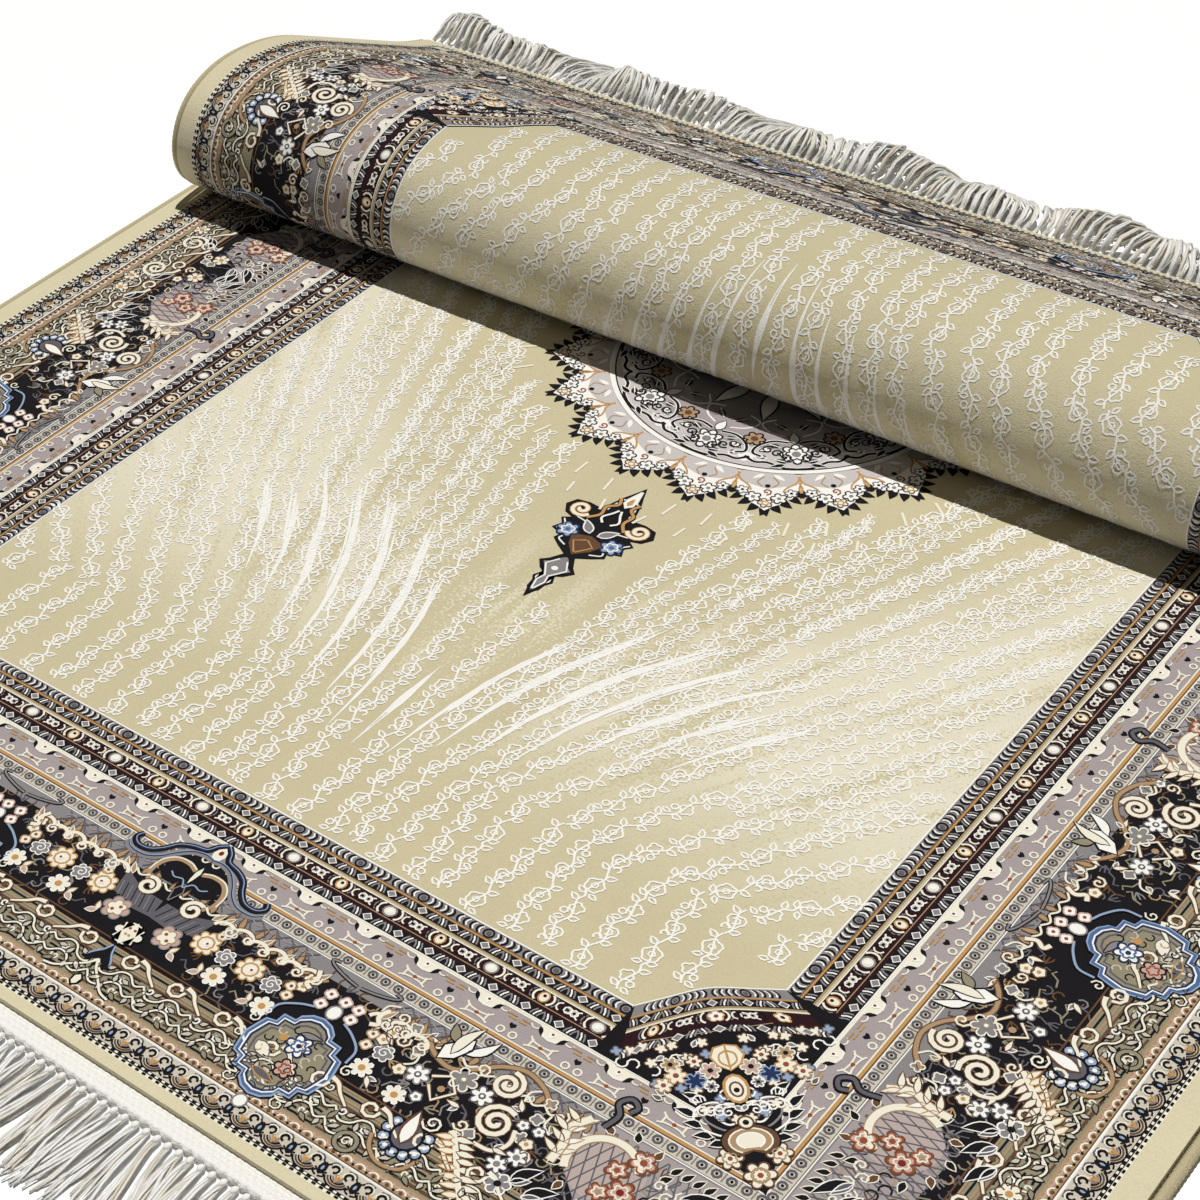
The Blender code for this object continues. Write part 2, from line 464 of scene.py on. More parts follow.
def arc(x, y, radius, start, end, count=10, squash=1.0):
    """Part of a circle, its angles in degrees anticlockwise from +x."""
    turn = np.radians(np.linspace(start, end, count))
    return np.stack([x + radius * np.cos(turn), y + radius * squash * np.sin(turn)], axis=1)


def ring(x, y, radius, count=12, squash=1.0):
    return arc(x, y, radius, 0, 360, count + 1, squash)[:-1]


def petals(x, y, radius, number, depth=0.18, count=None, turn=0.0):
    """The outline of a flower with round petals."""
    count = count or number * (6 if radius > 0.0065 else 4)
    angle = np.linspace(0, 2 * math.pi, count, endpoint=False)
    r = radius * (1 - 1.6 * depth * (1 - np.abs(np.cos(number * (angle - turn) / 2)) ** 0.7))
    return np.stack([x + r * np.cos(angle), y + r * np.sin(angle)], axis=1)


def leaf_outline(base, tip, width, count=None, bend=0.0):
    """A pointed leaf between two places, its widest part a third of the way along."""
    base, tip = np.asarray(base, float), np.asarray(tip, float)
    count = count or (5 if np.hypot(*(tip - base)) < 0.012 else 7)
    t = np.linspace(0, 1, count)
    along = tip - base
    side = np.array([-along[1], along[0]]) / (np.hypot(*along) + 1e-9)
    middle = base + t[:, None] * along + (bend * np.sin(math.pi * t))[:, None] * side
    half = width / 2 * np.sin(math.pi * t**0.75)
    return np.vstack([middle + half[:, None] * side, (middle - half[:, None] * side)[-2:0:-1]])


def spiral_path(x, y, radius, turns, start, inner=0.12):
    """From outside in. A negative number of turns winds the other way."""
    count = 14 if radius > 0.006 else 9
    steps = max(6, int(abs(turns) * count))
    t = np.linspace(0, 1, steps)
    r = radius * (1 - (1 - inner) * t)
    angle = np.radians(start) + 2 * math.pi * turns * t
    return np.stack([x + r * np.cos(angle), y + r * np.sin(angle)], axis=1)


def flip(side, points):
    """The points, or their mirror image about x = 0 where side is -1."""
    return np.array(points, float) * (side, 1)


class Motif:
    """Flat shapes in yarn: points with their heights, triangles and each triangle's yarn."""

    def __init__(self):
        self.points, self.heights, self.faces, self.yarns = [], [], [], []
        self.count = 0
        self.shapes = 0

    def add(self, points, heights, faces, yarns):
        self.points.append(points)
        self.heights.append(heights)
        self.faces.append(np.asarray(faces) + self.count)
        self.yarns.append(yarns)
        self.count += len(points)

    def shape(self, points, faces, yarn, layer):
        self.shapes += 1
        height = layer * LAYER + (self.shapes * 7 % 23) * SHINGLE
        number = list(COLOURS).index(yarn)
        self.add(np.asarray(points, float), np.full(len(points), height), faces, np.full(len(faces), number))

    def line(self, path, width, yarn, layer=3, closed=False):
        """A stroke. width may be one number or one for each point of the path."""
        path = np.asarray(path, float)
        if closed:
            tangent = np.roll(path, -1, axis=0) - np.roll(path, 1, axis=0)
        else:
            tangent = np.gradient(path, axis=0)
        tangent /= np.hypot(tangent[:, 0], tangent[:, 1])[:, None] + 1e-12
        side = np.stack([-tangent[:, 1], tangent[:, 0]], axis=1) * (np.asarray(width) / 2 + 0 * path[:, :1].T).T
        n = len(path)
        a = np.arange(n if closed else n - 1)
        b = (a + 1) % n
        faces = np.concatenate([np.stack([a, b, b + n], axis=1), np.stack([a, b + n, a + n], axis=1)])
        self.shape(np.vstack([path + side, path - side]), faces, yarn, layer)

    def patch(self, outline, yarn, layer=2):
        """A filled shape that can be seen whole from its middle."""
        outline = np.asarray(outline, float)
        n = len(outline)
        centre = (outline.min(axis=0) + outline.max(axis=0)) / 2
        a = np.arange(n)
        b = (a + 1) % n
        if np.ptp(outline, axis=0).max() < 0.005:
            self.shape(np.vstack([outline, centre]), np.stack([a, b, np.full(n, n)], axis=1), yarn, layer)
            return
        inner = centre + (outline - centre) * 0.5
        faces = np.concatenate([np.stack([a, b, b + n], axis=1), np.stack([a, b + n, a + n], axis=1),
                                np.stack([a + n, b + n, np.full(n, 2 * n)], axis=1)])
        self.shape(np.vstack([outline, inner, centre]), faces, yarn, layer)

    def edged(self, path, width, yarn, edge, rim=0.0007, layer=3, closed=False):
        """A stroke with an outline of another yarn."""
        self.line(path, np.asarray(width) + 2 * rim, edge, layer, closed)
        self.line(path, width, yarn, layer + 1, closed)

    def bordered(self, outline, yarn, edge, rim=0.0008, layer=2):
        """A filled shape with an outline."""
        self.patch(outline, yarn, layer)
        self.line(outline, rim, edge, layer + 1, closed=True)

    def flower(self, x, y, radius, yarn="cream", edge="black", heart="gold", number=5, layer=4, turn=0.3):
        """Petals with an outline, a ring of dashes and a heart."""
        self.bordered(petals(x, y, radius, number, turn=turn), yarn, edge, 0.0009, layer)
        self.patch(ring(x, y, radius * 0.3, 8), heart, layer + 2)
        if radius > 0.006:
            for k in range(number):
                a = turn + (k + 0.5) * 2 * math.pi / number
                inner, outer = radius * 0.45, radius * 0.85
                self.line([(x + inner * math.cos(a), y + inner * math.sin(a)),
                           (x + outer * math.cos(a), y + outer * math.sin(a))], 0.0008, edge, layer + 2)

    def leaf(self, base, tip, width, yarn="cream", edge="black", layer=3, bend=0.0):
        self.bordered(leaf_outline(base, tip, width, bend=bend), yarn, edge, 0.0007, layer)

    def scroll(self, x, y, radius, turns, start, width=0.0022, yarn="cream", edge="brown", layer=4):
        self.edged(spiral_path(x, y, radius, turns, start), width, yarn, edge, layer=layer)

    def gathered(self):
        return (np.vstack(self.points), np.concatenate(self.heights), np.vstack(self.faces),
                np.concatenate(self.yarns))

    def stamp(self, motif, places):
        """Copies of a motif, at heights that differ. places holds (x, y, degrees, scale along x, along y)."""
        points, heights, faces, yarns = motif.gathered()
        places = np.asarray(places, float).reshape(-1, 5)
        copies, n = len(places), len(points)
        turn = np.radians(places[:, 2])
        c, s = np.cos(turn)[:, None], np.sin(turn)[:, None]
        x = points[:, 0] * places[:, 3:4]
        y = points[:, 1] * places[:, 4:5]
        moved = np.stack([x * c - y * s + places[:, 0:1], x * s + y * c + places[:, 1:2]], axis=-1)
        self.shapes += 1
        step = (np.arange(copies) * 3 % 11 + 0.27 * (self.shapes % 4))[:, None] * SHINGLE * 1.7
        offsets = (np.arange(copies) * n)[:, None, None]
        self.add(moved.reshape(-1, 2), (heights + step).ravel(), (faces + offsets).reshape(-1, 3),
                 np.tile(yarns, copies))

    def reflected(self, motif, matrix, shift):
        """One copy of a motif under a linear map, such as a reflection, and a shift."""
        points, heights, faces, yarns = motif.gathered()
        self.shapes += 1
        self.add(points @ np.asarray(matrix, float).T + np.asarray(shift, float),
                 heights + (self.shapes % 3) * REFLECTED_APART, faces, yarns)


def weave(name, motif, mirror_x=True, mirror_y=True):
    """The motif as a piece of the rug's pile, copied to the rug's other quarters and folded with it."""
    points, heights, faces, yarns = motif.gathered()
    pieces = [points]
    if mirror_x:
        pieces += [p * (-1, 1) for p in pieces]
    if mirror_y:
        pieces += [p * (1, -1) + (0, DESIGN_LENGTH) for p in pieces]
    n = len(points)
    flat = np.vstack(pieces)
    faces = np.vstack([faces + n * k for k in range(len(pieces))])
    heights = np.concatenate([heights + k * APART for k in range(len(pieces))])
    yarns = np.tile(yarns, len(pieces))
    a, b, c = (flat[faces[:, k]] for k in range(3))
    area = (b[:, 0] - a[:, 0]) * (c[:, 1] - a[:, 1]) - (b[:, 1] - a[:, 1]) * (c[:, 0] - a[:, 0])
    faces = np.where((area < 0)[:, None], faces[:, ::-1], faces)
    across, along = flat[:, 0] * UNIT, flat[:, 1] * UNIT
    used = np.unique(yarns)
    slots = np.searchsorted(used, yarns)
    world = folded(across, along, THICKNESS / 2 + STAND + heights)
    names = list(COLOURS)
    made = make_object(name, world, faces, slots, [yarn(names[k]) for k in used], np.stack([across, along], axis=1))
    print(name, len(faces), "triangles")
    return made


def border_line(motif, inward, width, yarn_name, layer=1):
    """A line round one quarter of the border, parallel to its edges."""
    corner = 0.5 - inward
    ends = np.arange(0, corner, 0.02)
    motif.line([(x, inward) for x in ends] + [(corner, inward)], width, yarn_name, layer)
    ys = np.append(np.arange(HALF_LENGTH, inward, -0.003), inward)
    motif.line([(corner, y) for y in ys], width, yarn_name, layer)


# ---------------------------------------------------------------- the border's narrow stripes

def palmette_motif():
    """Nested cups under a forked stem, with dark curls and a dark oval on each side."""
    m = Motif()
    for radius, width, name in ((0.0078, 0.0011, "black"), (0.0062, 0.001, "brown"), (0.0047, 0.0009, "black"),
                                (0.0034, 0.001, "grey")):
        m.line(arc(0, 0.0118, radius, 205, 335, 7), width, name, 2)
    m.line([(0, 0.0072), (0, 0.0115)], 0.0011, "gold", 3)
    m.line(bow([(-0.0026, 0.0128), (-0.001, 0.0098), (0, 0.0085), (0.001, 0.0098), (0.0026, 0.0128)], 3), 0.0009,
           "gold", 3)
    for side in (-1, 1):
        m.line(arc(side * 0.0044, 0.0138, 0.0021, 90 - 90 * side, 90 + 180 * side, 7), 0.0013, "black", 4)
        m.patch(ring(side * 0.0104, 0.011, 0.0024, 8, 1.8), "black", 3)
        m.patch(ring(side * 0.0104, 0.011, 0.0008, 6, 2.0), "sky", 4)
        m.line(arc(side * 0.0104, 0.0172, 0.003, 200, 340, 6), 0.0009, "black", 3)
        m.line(bow(flip(side, [(0.0098, 0.0056), (0.007, 0.0068), (0.0082, 0.0088), (0.0066, 0.0098)]), 2), 0.001,
               "black", 2)
        m.line(flip(side, [(0.002, 0.0172), (0.006, 0.0178), (0.0078, 0.0165)]), 0.001, "slate", 2)
        m.line(arc(side * 0.0044, 0.0138, 0.0033, 90 - 60 * side, 90 + 120 * side, 6), 0.0008, "cream", 3)
    return m


def wave_motif():
    """Small arches and rings of the brown strip."""
    m = Motif()
    m.line(arc(0, 0.0215, 0.003, 15, 165, 6), 0.0011, "cream", 2)
    m.patch(ring(0, 0.0222, 0.0012, 5), "brown", 3)
    m.line(arc(0.0043, 0.0262, 0.0024, 200, 340, 5), 0.001, "rose", 2)
    m.patch(ring(0.0043, 0.0218, 0.0009, 5), "black", 3)
    m.line([(-0.0043, 0.0203), (0.0043, 0.0203)], 0.0006, "brown", 2)
    return m


def bell_motif():
    """The lilac stripe: a cream bell and its leaves, then a pair of rings under a heart."""
    m = Motif()
    m.patch([(-0.0085, 0.1528), (-0.0075, 0.1492), (-0.004, 0.1463), (0, 0.1455), (0.004, 0.1463), (0.0075, 0.1492),
             (0.0085, 0.1528)], "cream", 2)
    m.line(bow([(-0.0085, 0.1525), (-0.0045, 0.1478), (0, 0.1462), (0.0045, 0.1478), (0.0085, 0.1525)], 3), 0.0008,
           "white", 3)
    m.patch(leaf_outline((0, 0.1525), (0, 0.1478), 0.0038), "white", 4)
    m.patch(ring(0, 0.1508, 0.0009, 6), "red", 5)
    for side in (-1, 1):
        m.patch(leaf_outline(*flip(side, [(0.0085, 0.152), (0.0048, 0.1465)]), 0.0026), "black", 4)
        m.line(arc(side * 0.0108, 0.152, 0.003, 200, 340, 7), 0.0009, "cream", 3)
        m.line(flip(side, [(0.0125, 0.15), (0.019, 0.15)]), 0.001, "tan", 3)
        m.line(flip(side, [(0.015, 0.1478), (0.02, 0.1478)]), 0.001, "gold", 3)
        m.line(ring(side * 0.0168, 0.1378, 0.0022, 9), 0.0011, "cream", 3, closed=True)
        m.line(flip(side, [(0.0062, 0.1425), (0.0062, 0.1365)]), 0.0012, "cream", 3)
        m.line(bow(flip(side, [(0.0085, 0.1436), (0.0055, 0.1412), (0, 0.1404)]), 3), 0.0011, "cream", 3)
        m.line(bow(flip(side, [(0.0085, 0.136), (0.005, 0.1376), (0, 0.1382)]), 3), 0.0011, "cream", 3)
        m.patch(flip(side, [(0.0207, 0.1412), (0.0187, 0.1432), (0.019, 0.145), (0.0207, 0.1444)]), "black", 4)
    m.patch(ring(0, 0.1393, 0.0013, 7), "rust", 4)
    return m


LEAFY = ((0.1554, 0.1618), (0.1772, 0.1833))  # where the two stripes of slanted strokes begin and end


def leafy_motif(low, high, pitch):
    """Slanted strokes on both sides of a grey lozenge."""
    m = Motif()
    middle, half = (low + high) / 2, (high - low) / 2
    m.bordered([(-0.003, middle), (0, high - 0.0004), (0.003, middle), (0, low + 0.0004)], "grey", "white", 0.0008, 3)
    steps = int((pitch / 2 - 0.0035) / 0.0021)
    for side in (-1, 1):
        lean = 0.0022 * side
        for k in range(steps):
            x = side * (0.0044 + k * 0.0021)
            m.line([(x, middle - half * 0.8), (x + lean * 0.3, middle), (x + lean, middle + half * 0.8)], 0.001,
                   "white" if k % 2 else "grey", 2)
    return m


def bead_motif():
    """One run of the dark stripe: an eye, a small bead, a large oval and a small bead again."""
    m = Motif()
    y = 0.1692
    m.bordered(ring(0, y, 0.003, 10, 1.25), "cream", "gold", 0.0009, 3)
    m.patch(ring(0, y + 0.001, 0.0011, 7), "maroon", 5)
    m.bordered(ring(0.0347, y, 0.004, 11, 0.95), "cream", "grey", 0.0011, 3)
    m.patch(ring(0.0347, y, 0.002, 8), "white", 5)
    for x, reach, bulge in ((0, 0.0062, 0.0046), (0.0347, 0.0078, 0.0048)):
        for side in (-1, 1):
            turn = 90 - 90 * side
            m.line(arc(x + side * (reach - bulge), y, bulge, turn - 62, turn + 62, 8), 0.0013, "cream", 3)
            m.line(arc(x + side * (reach - bulge + 0.0022), y, bulge, turn - 50, turn + 50, 8), 0.0007, "grey", 3)
    for x in (0.0155, 0.0195, 0.051, 0.055):
        m.bordered(ring(x, y, 0.0024, 7), "linen", "white", 0.0008, 3)
        m.patch(ring(x, y, 0.001, 6), "black", 5)
    for x in (0.0115, 0.0235, 0.047, 0.059):
        m.line(arc(x, y, 0.003, 100, 260, 6), 0.001, "cream", 3)
        m.line(arc(x, y, 0.003, -80, 80, 6), 0.0007, "black", 4)
    m.line([(-0.006, 0.164), (0.0635, 0.164)], 0.0006, "tan", 2)
    return m


def crescent_motif():
    """A rosette and the row of crescents that runs from it on both sides."""
    m = Motif()
    y = 0.1887
    m.line(ring(0, y, 0.0031, 10), 0.0011, "black", 3, closed=True)
    m.patch(ring(0, y, 0.0016, 7), "slate", 3)
    for side in (-1, 1):
        for k in range(4):
            x = side * (0.0066 + 0.0045 * k)
            turn = 90 - 90 * side
            m.line(arc(x - side * 0.0018, y, 0.0029, turn - 75, turn + 75, 7), 0.0013, "black", 3)
            m.line(arc(x - side * 0.0035, y, 0.0029, turn - 60, turn + 60, 6), 0.001, "white", 3)
    return m


def ring_motif():
    m = Motif()
    m.line(ring(0, 0.127, 0.0024, 8), 0.0014, "slate", 2, closed=True)
    m.patch(ring(0, 0.127, 0.0009, 6), "black", 3)
    m.line([(0.0043, 0.124), (0.0043, 0.1302)], 0.0007, "grey", 2)
    return m


def dash_motif():
    m = Motif()
    m.line([(-0.0012, 0.001), (0.0012, 0.001)], 0.0014, "black", 2)
    m.line([(0.0014, 0.0031), (0.0034, 0.0031)], 0.0012, "cream", 2)
    return m


def repeat(m, motif, pitch):
    """Repeats a motif drawn at its true distance from the edge, round one quarter of the border."""
    reach = np.vstack(motif.points)[:, 1].max()
    ends = [(x, 0, 0, 1, 1) for x in np.arange(0.5 * pitch, 0.5 - reach, pitch)]
    sides = [(0.5, y, 90, 1, 1) for y in np.arange(HALF_LENGTH - 0.5 * pitch, reach, -pitch)]
    m.stamp(motif, ends + sides)


def make_guards():
    """The outer and inner guard stripes, all round the rug."""
    m = Motif()
    for motif, pitch in ((dash_motif(), 0.0048), (palmette_motif(), 0.0208), (wave_motif(), 0.0086),
                         (ring_motif(), 0.0087)):
        repeat(m, motif, pitch)
    for inward, width, name in ((0.0192, 0.001, "white"), (0.1219, 0.0008, "white"), (0.1303, 0.0008, "white"),
                                (0.1313, 0.0007, "brown"), (0.134, 0.0009, "cream")):
        border_line(m, inward, width, name)
    return weave("guard_stripes", m)


def make_stripes():
    """The lilac, leaf, bead and crescent stripes. The inner ones bend round the corner fans."""
    m = Motif()
    repeat(m, bell_motif(), 0.0414)
    pitch = 0.0215
    for low, high in LEAFY:
        repeat(m, leafy_motif(low, high, pitch), pitch)
    run = 0.0695  # the length of one motif of beads
    ends = [(run * k, 0, 0, 1, 1) for k in range(4)]
    sides = [(0.5, y, 90, 1, 1) for y in np.arange(HALF_LENGTH - run, 0.19, -run)]
    m.stamp(bead_motif(), ends + sides)
    repeat(m, crescent_motif(), 0.045)
    for inward, width, name in ((0.1532, 0.0012, "cream"), (0.1548, 0.0008, "white"), (0.1742, 0.0008, "cream"),
                                (0.1764, 0.0009, "tan"), (0.1842, 0.001, "gold"), (0.185, 0.0006, "brown"),
                                (0.1929, 0.001, "white")):
        border_line(m, inward, width, name)
    return weave("inner_stripes", m)


# ---------------------------------------------------------------- the main border

def cartouche_half():
    """Half of the winged crest in the middle of each end border. It reaches into the lilac stripe."""
    m = Motif()
    m.patch([(0, 0.0855), (0.012, 0.0845), (0.019, 0.088), (0.03, 0.0885), (0.034, 0.106), (0.02, 0.1),
             (0.008, 0.099), (0, 0.099)], "slate", 2)
    for k in range(9):
        x = 0.003 + 0.0033 * k
        m.line([(x, 0.0875), (x + 0.004, 0.098)], 0.0006, "grey" if k % 2 else "black", 3)
    crest = bow([(0, 0.1535), (0.005, 0.149), (0.0085, 0.1435), (0.017, 0.1412), (0.0245, 0.137), (0.0295, 0.13),
                 (0.036, 0.1245), (0.044, 0.1238), (0.0485, 0.128), (0.0465, 0.1325)], 5)
    inner = bow([(0, 0.1395), (0.006, 0.1405), (0.014, 0.1382), (0.021, 0.132), (0.027, 0.1245), (0.035, 0.1195),
                 (0.045, 0.1195), (0.0505, 0.1235)], 5)
    m.patch([(0, 0.14), (0.012, 0.139), (0.021, 0.131), (0.027, 0.123), (0.022, 0.112), (0, 0.112)], "black", 3)
    for path in (crest, inner):
        m.line(path, 0.0049, "grey", 3.5)
        m.line(path, 0.0044, "black", 4)
        m.line(path + (0, 0.0004), 0.0013, "navy", 5)
        m.line(path + (0.0002, 0.0008), 0.0006, "sky", 6)
    m.patch([(0, 0.1515), (0.003, 0.1485), (0.0042, 0.1448), (0.003, 0.1415), (0, 0.14)], "cream", 6)
    m.patch(ring(0.0003, 0.1465, 0.0012, 6, 1.6), "red", 7)
    m.line(bow([(0.0025, 0.127), (0.009, 0.1295), (0.017, 0.1285), (0.0225, 0.122), (0.0235, 0.113),
                (0.0205, 0.1065)], 5), 0.0024, "tan", 4)
    m.line(bow([(0.0025, 0.1285), (0.009, 0.131), (0.018, 0.1298), (0.0242, 0.1228), (0.0252, 0.113)], 5), 0.001,
           "cream", 5)
    m.edged(spiral_path(0.0165, 0.103, 0.007, 1.4, 60, 0.25), 0.0026, "cream", "brown", layer=5)
    m.patch(ring(0.012, 0.1188, 0.008, 14, 0.85), "black", 5)
    m.line(bow([(0, 0.113), (0.004, 0.1182), (0.0095, 0.117), (0.0135, 0.1195)], 5), 0.0009, "sky", 7)
    m.patch([(0, 0.131), (0.0022, 0.126), (0.0048, 0.114), (0.0022, 0.103), (0, 0.09)], "black", 6)
    m.patch([(0, 0.132), (0.0016, 0.127), (0.001, 0.121), (0, 0.117)], "cream", 7)
    m.line([(0.0003, 0.116), (0.0032, 0.11), (0.0003, 0.101)], 0.0007, "grey", 7)
    m.bordered(petals(0.019, 0.0795, 0.0088, 6), "rose", "grey", 0.0009, 4)
    m.bordered(petals(0.019, 0.0795, 0.006, 5), "cream", "tan", 0.0007, 6)
    m.patch(ring(0.0205, 0.0775, 0.0012, 6), "rust", 8)
    m.patch(ring(0.0172, 0.0812, 0.0012, 6), "rust", 8)
    half_flower = sorted((p for p in petals(0, 0.069, 0.0098, 7) if p[0] > 0), key=lambda p: -p[1])
    m.patch([(0, 0.0788)] + half_flower + [(0, 0.0592)], "cream", 6)
    m.line([(0, 0.079)] + half_flower + [(0, 0.059)], 0.0009, "black", 7)
    m.patch(ring(0.0018, 0.0725, 0.001, 6), "rust", 8)
    m.patch(ring(0.0012, 0.068, 0.001, 6), "gold", 8)
    m.line(bow([(0.0008, 0.058), (0.003, 0.0525), (0.0065, 0.048), (0.009, 0.0435)], 4), 0.0012, "sky", 6)
    m.patch([(0, 0.06), (0.0055, 0.05), (0.0105, 0.042), (0.004, 0.041), (0, 0.046)], "black", 4)
    m.edged(bow([(0, 0.0445), (0.004, 0.039), (0.01, 0.034), (0.017, 0.028), (0.024, 0.0262)], 5), 0.0014, "cream",
            "black", layer=5)
    m.patch([(0, 0.0325), (0.0035, 0.0295), (0.003, 0.0245), (0, 0.0218)], "black", 5)
    m.patch([(0, 0.0312), (0.0022, 0.029), (0.0018, 0.025), (0, 0.0235)], "cream", 6)
    return m


def spray(m):
    """Flowers and buds between the crest and the blue medallion, on the dark ground."""
    for x, y in ((0.039, 0.0895), (0.071, 0.0895)):
        m.bordered(petals(x, y, 0.0086, 8), "cream", "gold", 0.001, 4)
        m.line(ring(x, y, 0.0048, 9), 0.0012, "gold", 6, closed=True)
        m.patch(ring(x + 0.001, y, 0.002, 7), "white", 7)
        m.patch(ring(x + 0.001, y, 0.001, 6), "rust", 8)
    for x, y in ((0.0545, 0.088), (0.087, 0.088), (0.165, 0.0875)):
        m.bordered(petals(x, y, 0.006, 6), "grey", "white", 0.0008, 4)
        m.line(spiral_path(x, y, 0.0038, 1.3, 30), 0.0008, "white", 6)
    for x, y, r in ((0.0585, 0.0735, 0.0068), (0.093, 0.0735, 0.0066), (0.162, 0.073, 0.0064),
                    (0.1865, 0.069, 0.0064)):
        m.bordered(petals(x, y, r, 7, 0.26), "cream", "white", 0.0008, 4)
        m.patch(ring(x, y, r * 0.34, 7), "gold", 6)
    for x, y, lean in ((0.027, 0.072, 1), (0.05, 0.0715, -1), (0.085, 0.0715, -1)):
        m.leaf((x, y), (x + 0.006 * lean, y - 0.004), 0.004, "rose", "cream", 4)
        m.leaf((x, y), (x + 0.003 * lean, y + 0.006), 0.0032, "cream", "tan", 4)
    for k, x in enumerate((0.04, 0.052, 0.064, 0.076, 0.088, 0.1, 0.15, 0.162, 0.174)):
        y = 0.1035 + 0.0016 * (k % 2)
        m.edged(arc(x, y - 0.002, 0.0074, 20, 165, 9, 0.9), 0.0023, "cream", "brown", layer=4)
        m.edged(spiral_path(x + 0.0042, y - 0.0002, 0.0034, -1.1, 20, 0.3), 0.0014, "cream", "brown", layer=5)
        m.edged(arc(x + 0.005, y + 0.0052, 0.0055, 200, 340, 6, 0.7), 0.0013, "tan", "brown", layer=3)
    for x, y in ((0.043, 0.0985), (0.0965, 0.094), (0.0985, 0.0875), (0.1525, 0.0945), (0.154, 0.0865)):
        m.flower(x, y, 0.0036, "cream", "tan", "rust", 4, 4)
    m.bordered(petals(0.045, 0.103, 0.0044, 5), "grey", "cream", 0.0008, 5)
    for k, x in enumerate((0.03, 0.036, 0.063, 0.079, 0.104, 0.149, 0.172)):
        m.leaf((x, 0.1045), (x + 0.005, 0.1125 + 0.001 * (k % 3)), 0.0032, "tan", "cream", 5)


BLUE = (0.126, 0.0555)  # the blue medallion's centre


def medallion_outline(grow):
    """The blue medallion's lobed outline with its stepped corners."""
    p = np.array([(0.0, 0.029), (0.0058, 0.0275), (0.0102, 0.0238), (0.0112, 0.02), (0.018, 0.0196), (0.0184, 0.0138),
                  (0.0236, 0.0124), (0.0252, 0.0062), (0.0266, 0.0)])
    return np.vstack([p, p[-2::-1] * (1, -1), p[1:] * (-1, -1), p[-2:0:-1] * (-1, 1)]) * grow + BLUE


def blue_medallion(m):
    x, y = BLUE
    m.patch(medallion_outline(1.1), "black", 3)
    m.patch(medallion_outline(0.98), "olive", 4)
    for grow, width, name, layer in ((1.02, 0.0058, "black", 5), (1.07, 0.0012, "sky", 6), (1.02, 0.0022, "blue", 6),
                                     (0.965, 0.001, "white", 7), (0.92, 0.0012, "navy", 7),
                                     (0.8, 0.0013, "slate", 5)):
        m.line(medallion_outline(grow), width, name, layer, closed=True)
    for k in range(26):
        a = k * 2 * math.pi / 13 + (k // 13) * 0.2
        r = (0.0165, 0.0105)[k // 13]
        m.line(arc(x + r * math.cos(a), y + r * 1.1 * math.sin(a), 0.0024, 30 * k, 30 * k + 230, 6), 0.0009,
               ("black", "linen", "black", "tan")[k % 4], 6)
    m.bordered(petals(x + 0.001, y + 0.0085, 0.0078, 6, 0.25), "white", "navy", 0.0013, 6)
    m.line(petals(x + 0.001, y + 0.0085, 0.0042, 5), 0.0012, "blue", 8, closed=True)
    m.patch(ring(x + 0.001, y + 0.0085, 0.0016, 7), "navy", 9)
    m.bordered(petals(x + 0.005, y - 0.0075, 0.0066, 6, 0.2), "rose", "maroon", 0.0012, 6)
    m.line(petals(x + 0.005, y - 0.0075, 0.0034, 5), 0.001, "rust", 8, closed=True)
    m.leaf((x - 0.019, y - 0.001), (x - 0.0065, y - 0.008), 0.008, "cream", "slate", 6)
    m.patch(ring(x - 0.0095, y + 0.0085, 0.0026, 8), "gold", 7)
    m.leaf((x - 0.004, y + 0.016), (x + 0.009, y + 0.019), 0.0044, "grey", "black", 6)
    m.leaf((x - 0.01, y - 0.016), (x + 0.006, y - 0.0185), 0.005, "slate", "gold", 6)
    m.bordered(ring(x + 0.001, 0.093, 0.0042, 12, 1.2), "white", "grey", 0.001, 6)
    m.bordered(ring(x, 0.018, 0.004, 12, 1.1), "white", "grey", 0.001, 6)
    for dx, dy in ((-0.009, 0.0385), (0.011, 0.039), (-0.0085, 0.047), (0.0015, 0.047), (0.0105, 0.0468)):
        m.flower(x + dx, y + dy, 0.0038, "white", "rose", "rust", 4, 5)
    for side in (-1, 1):
        # a bracket under the lattice, a curl beside the drop and a vine down the side
        for points, count, width, name, edge, layer in (
            (((0.001, 0.115), (0.01, 0.1165), (0.02, 0.1195), (0.0235, 0.1225), (0.019, 0.1235)), 4, 0.0012,
             "grey", "black", 4),
            (((0.024, 0.112), (0.0215, 0.106), (0.0245, 0.101), (0.0205, 0.0985)), 5, 0.0026, "cream", "brown", 5),
            (((0.01, 0.0905), (0.018, 0.087), (0.0265, 0.08), (0.0275, 0.07)), 4, 0.0014, "sky", "black", 4),
        ):
            m.edged(bow(flip(side, points) + (x, 0), count), width, name, edge, layer=layer)
        for k in range(3):
            m.scroll(x + side * 0.0315, 0.066 - 0.0125 * k, 0.004, 1.2 * side, 90, 0.001, "cream", "black")
        m.edged(spiral_path(x + side * 0.0165, 0.0278, 0.0052, 1.2 * side, 90), 0.001, "cream", "black", layer=4)


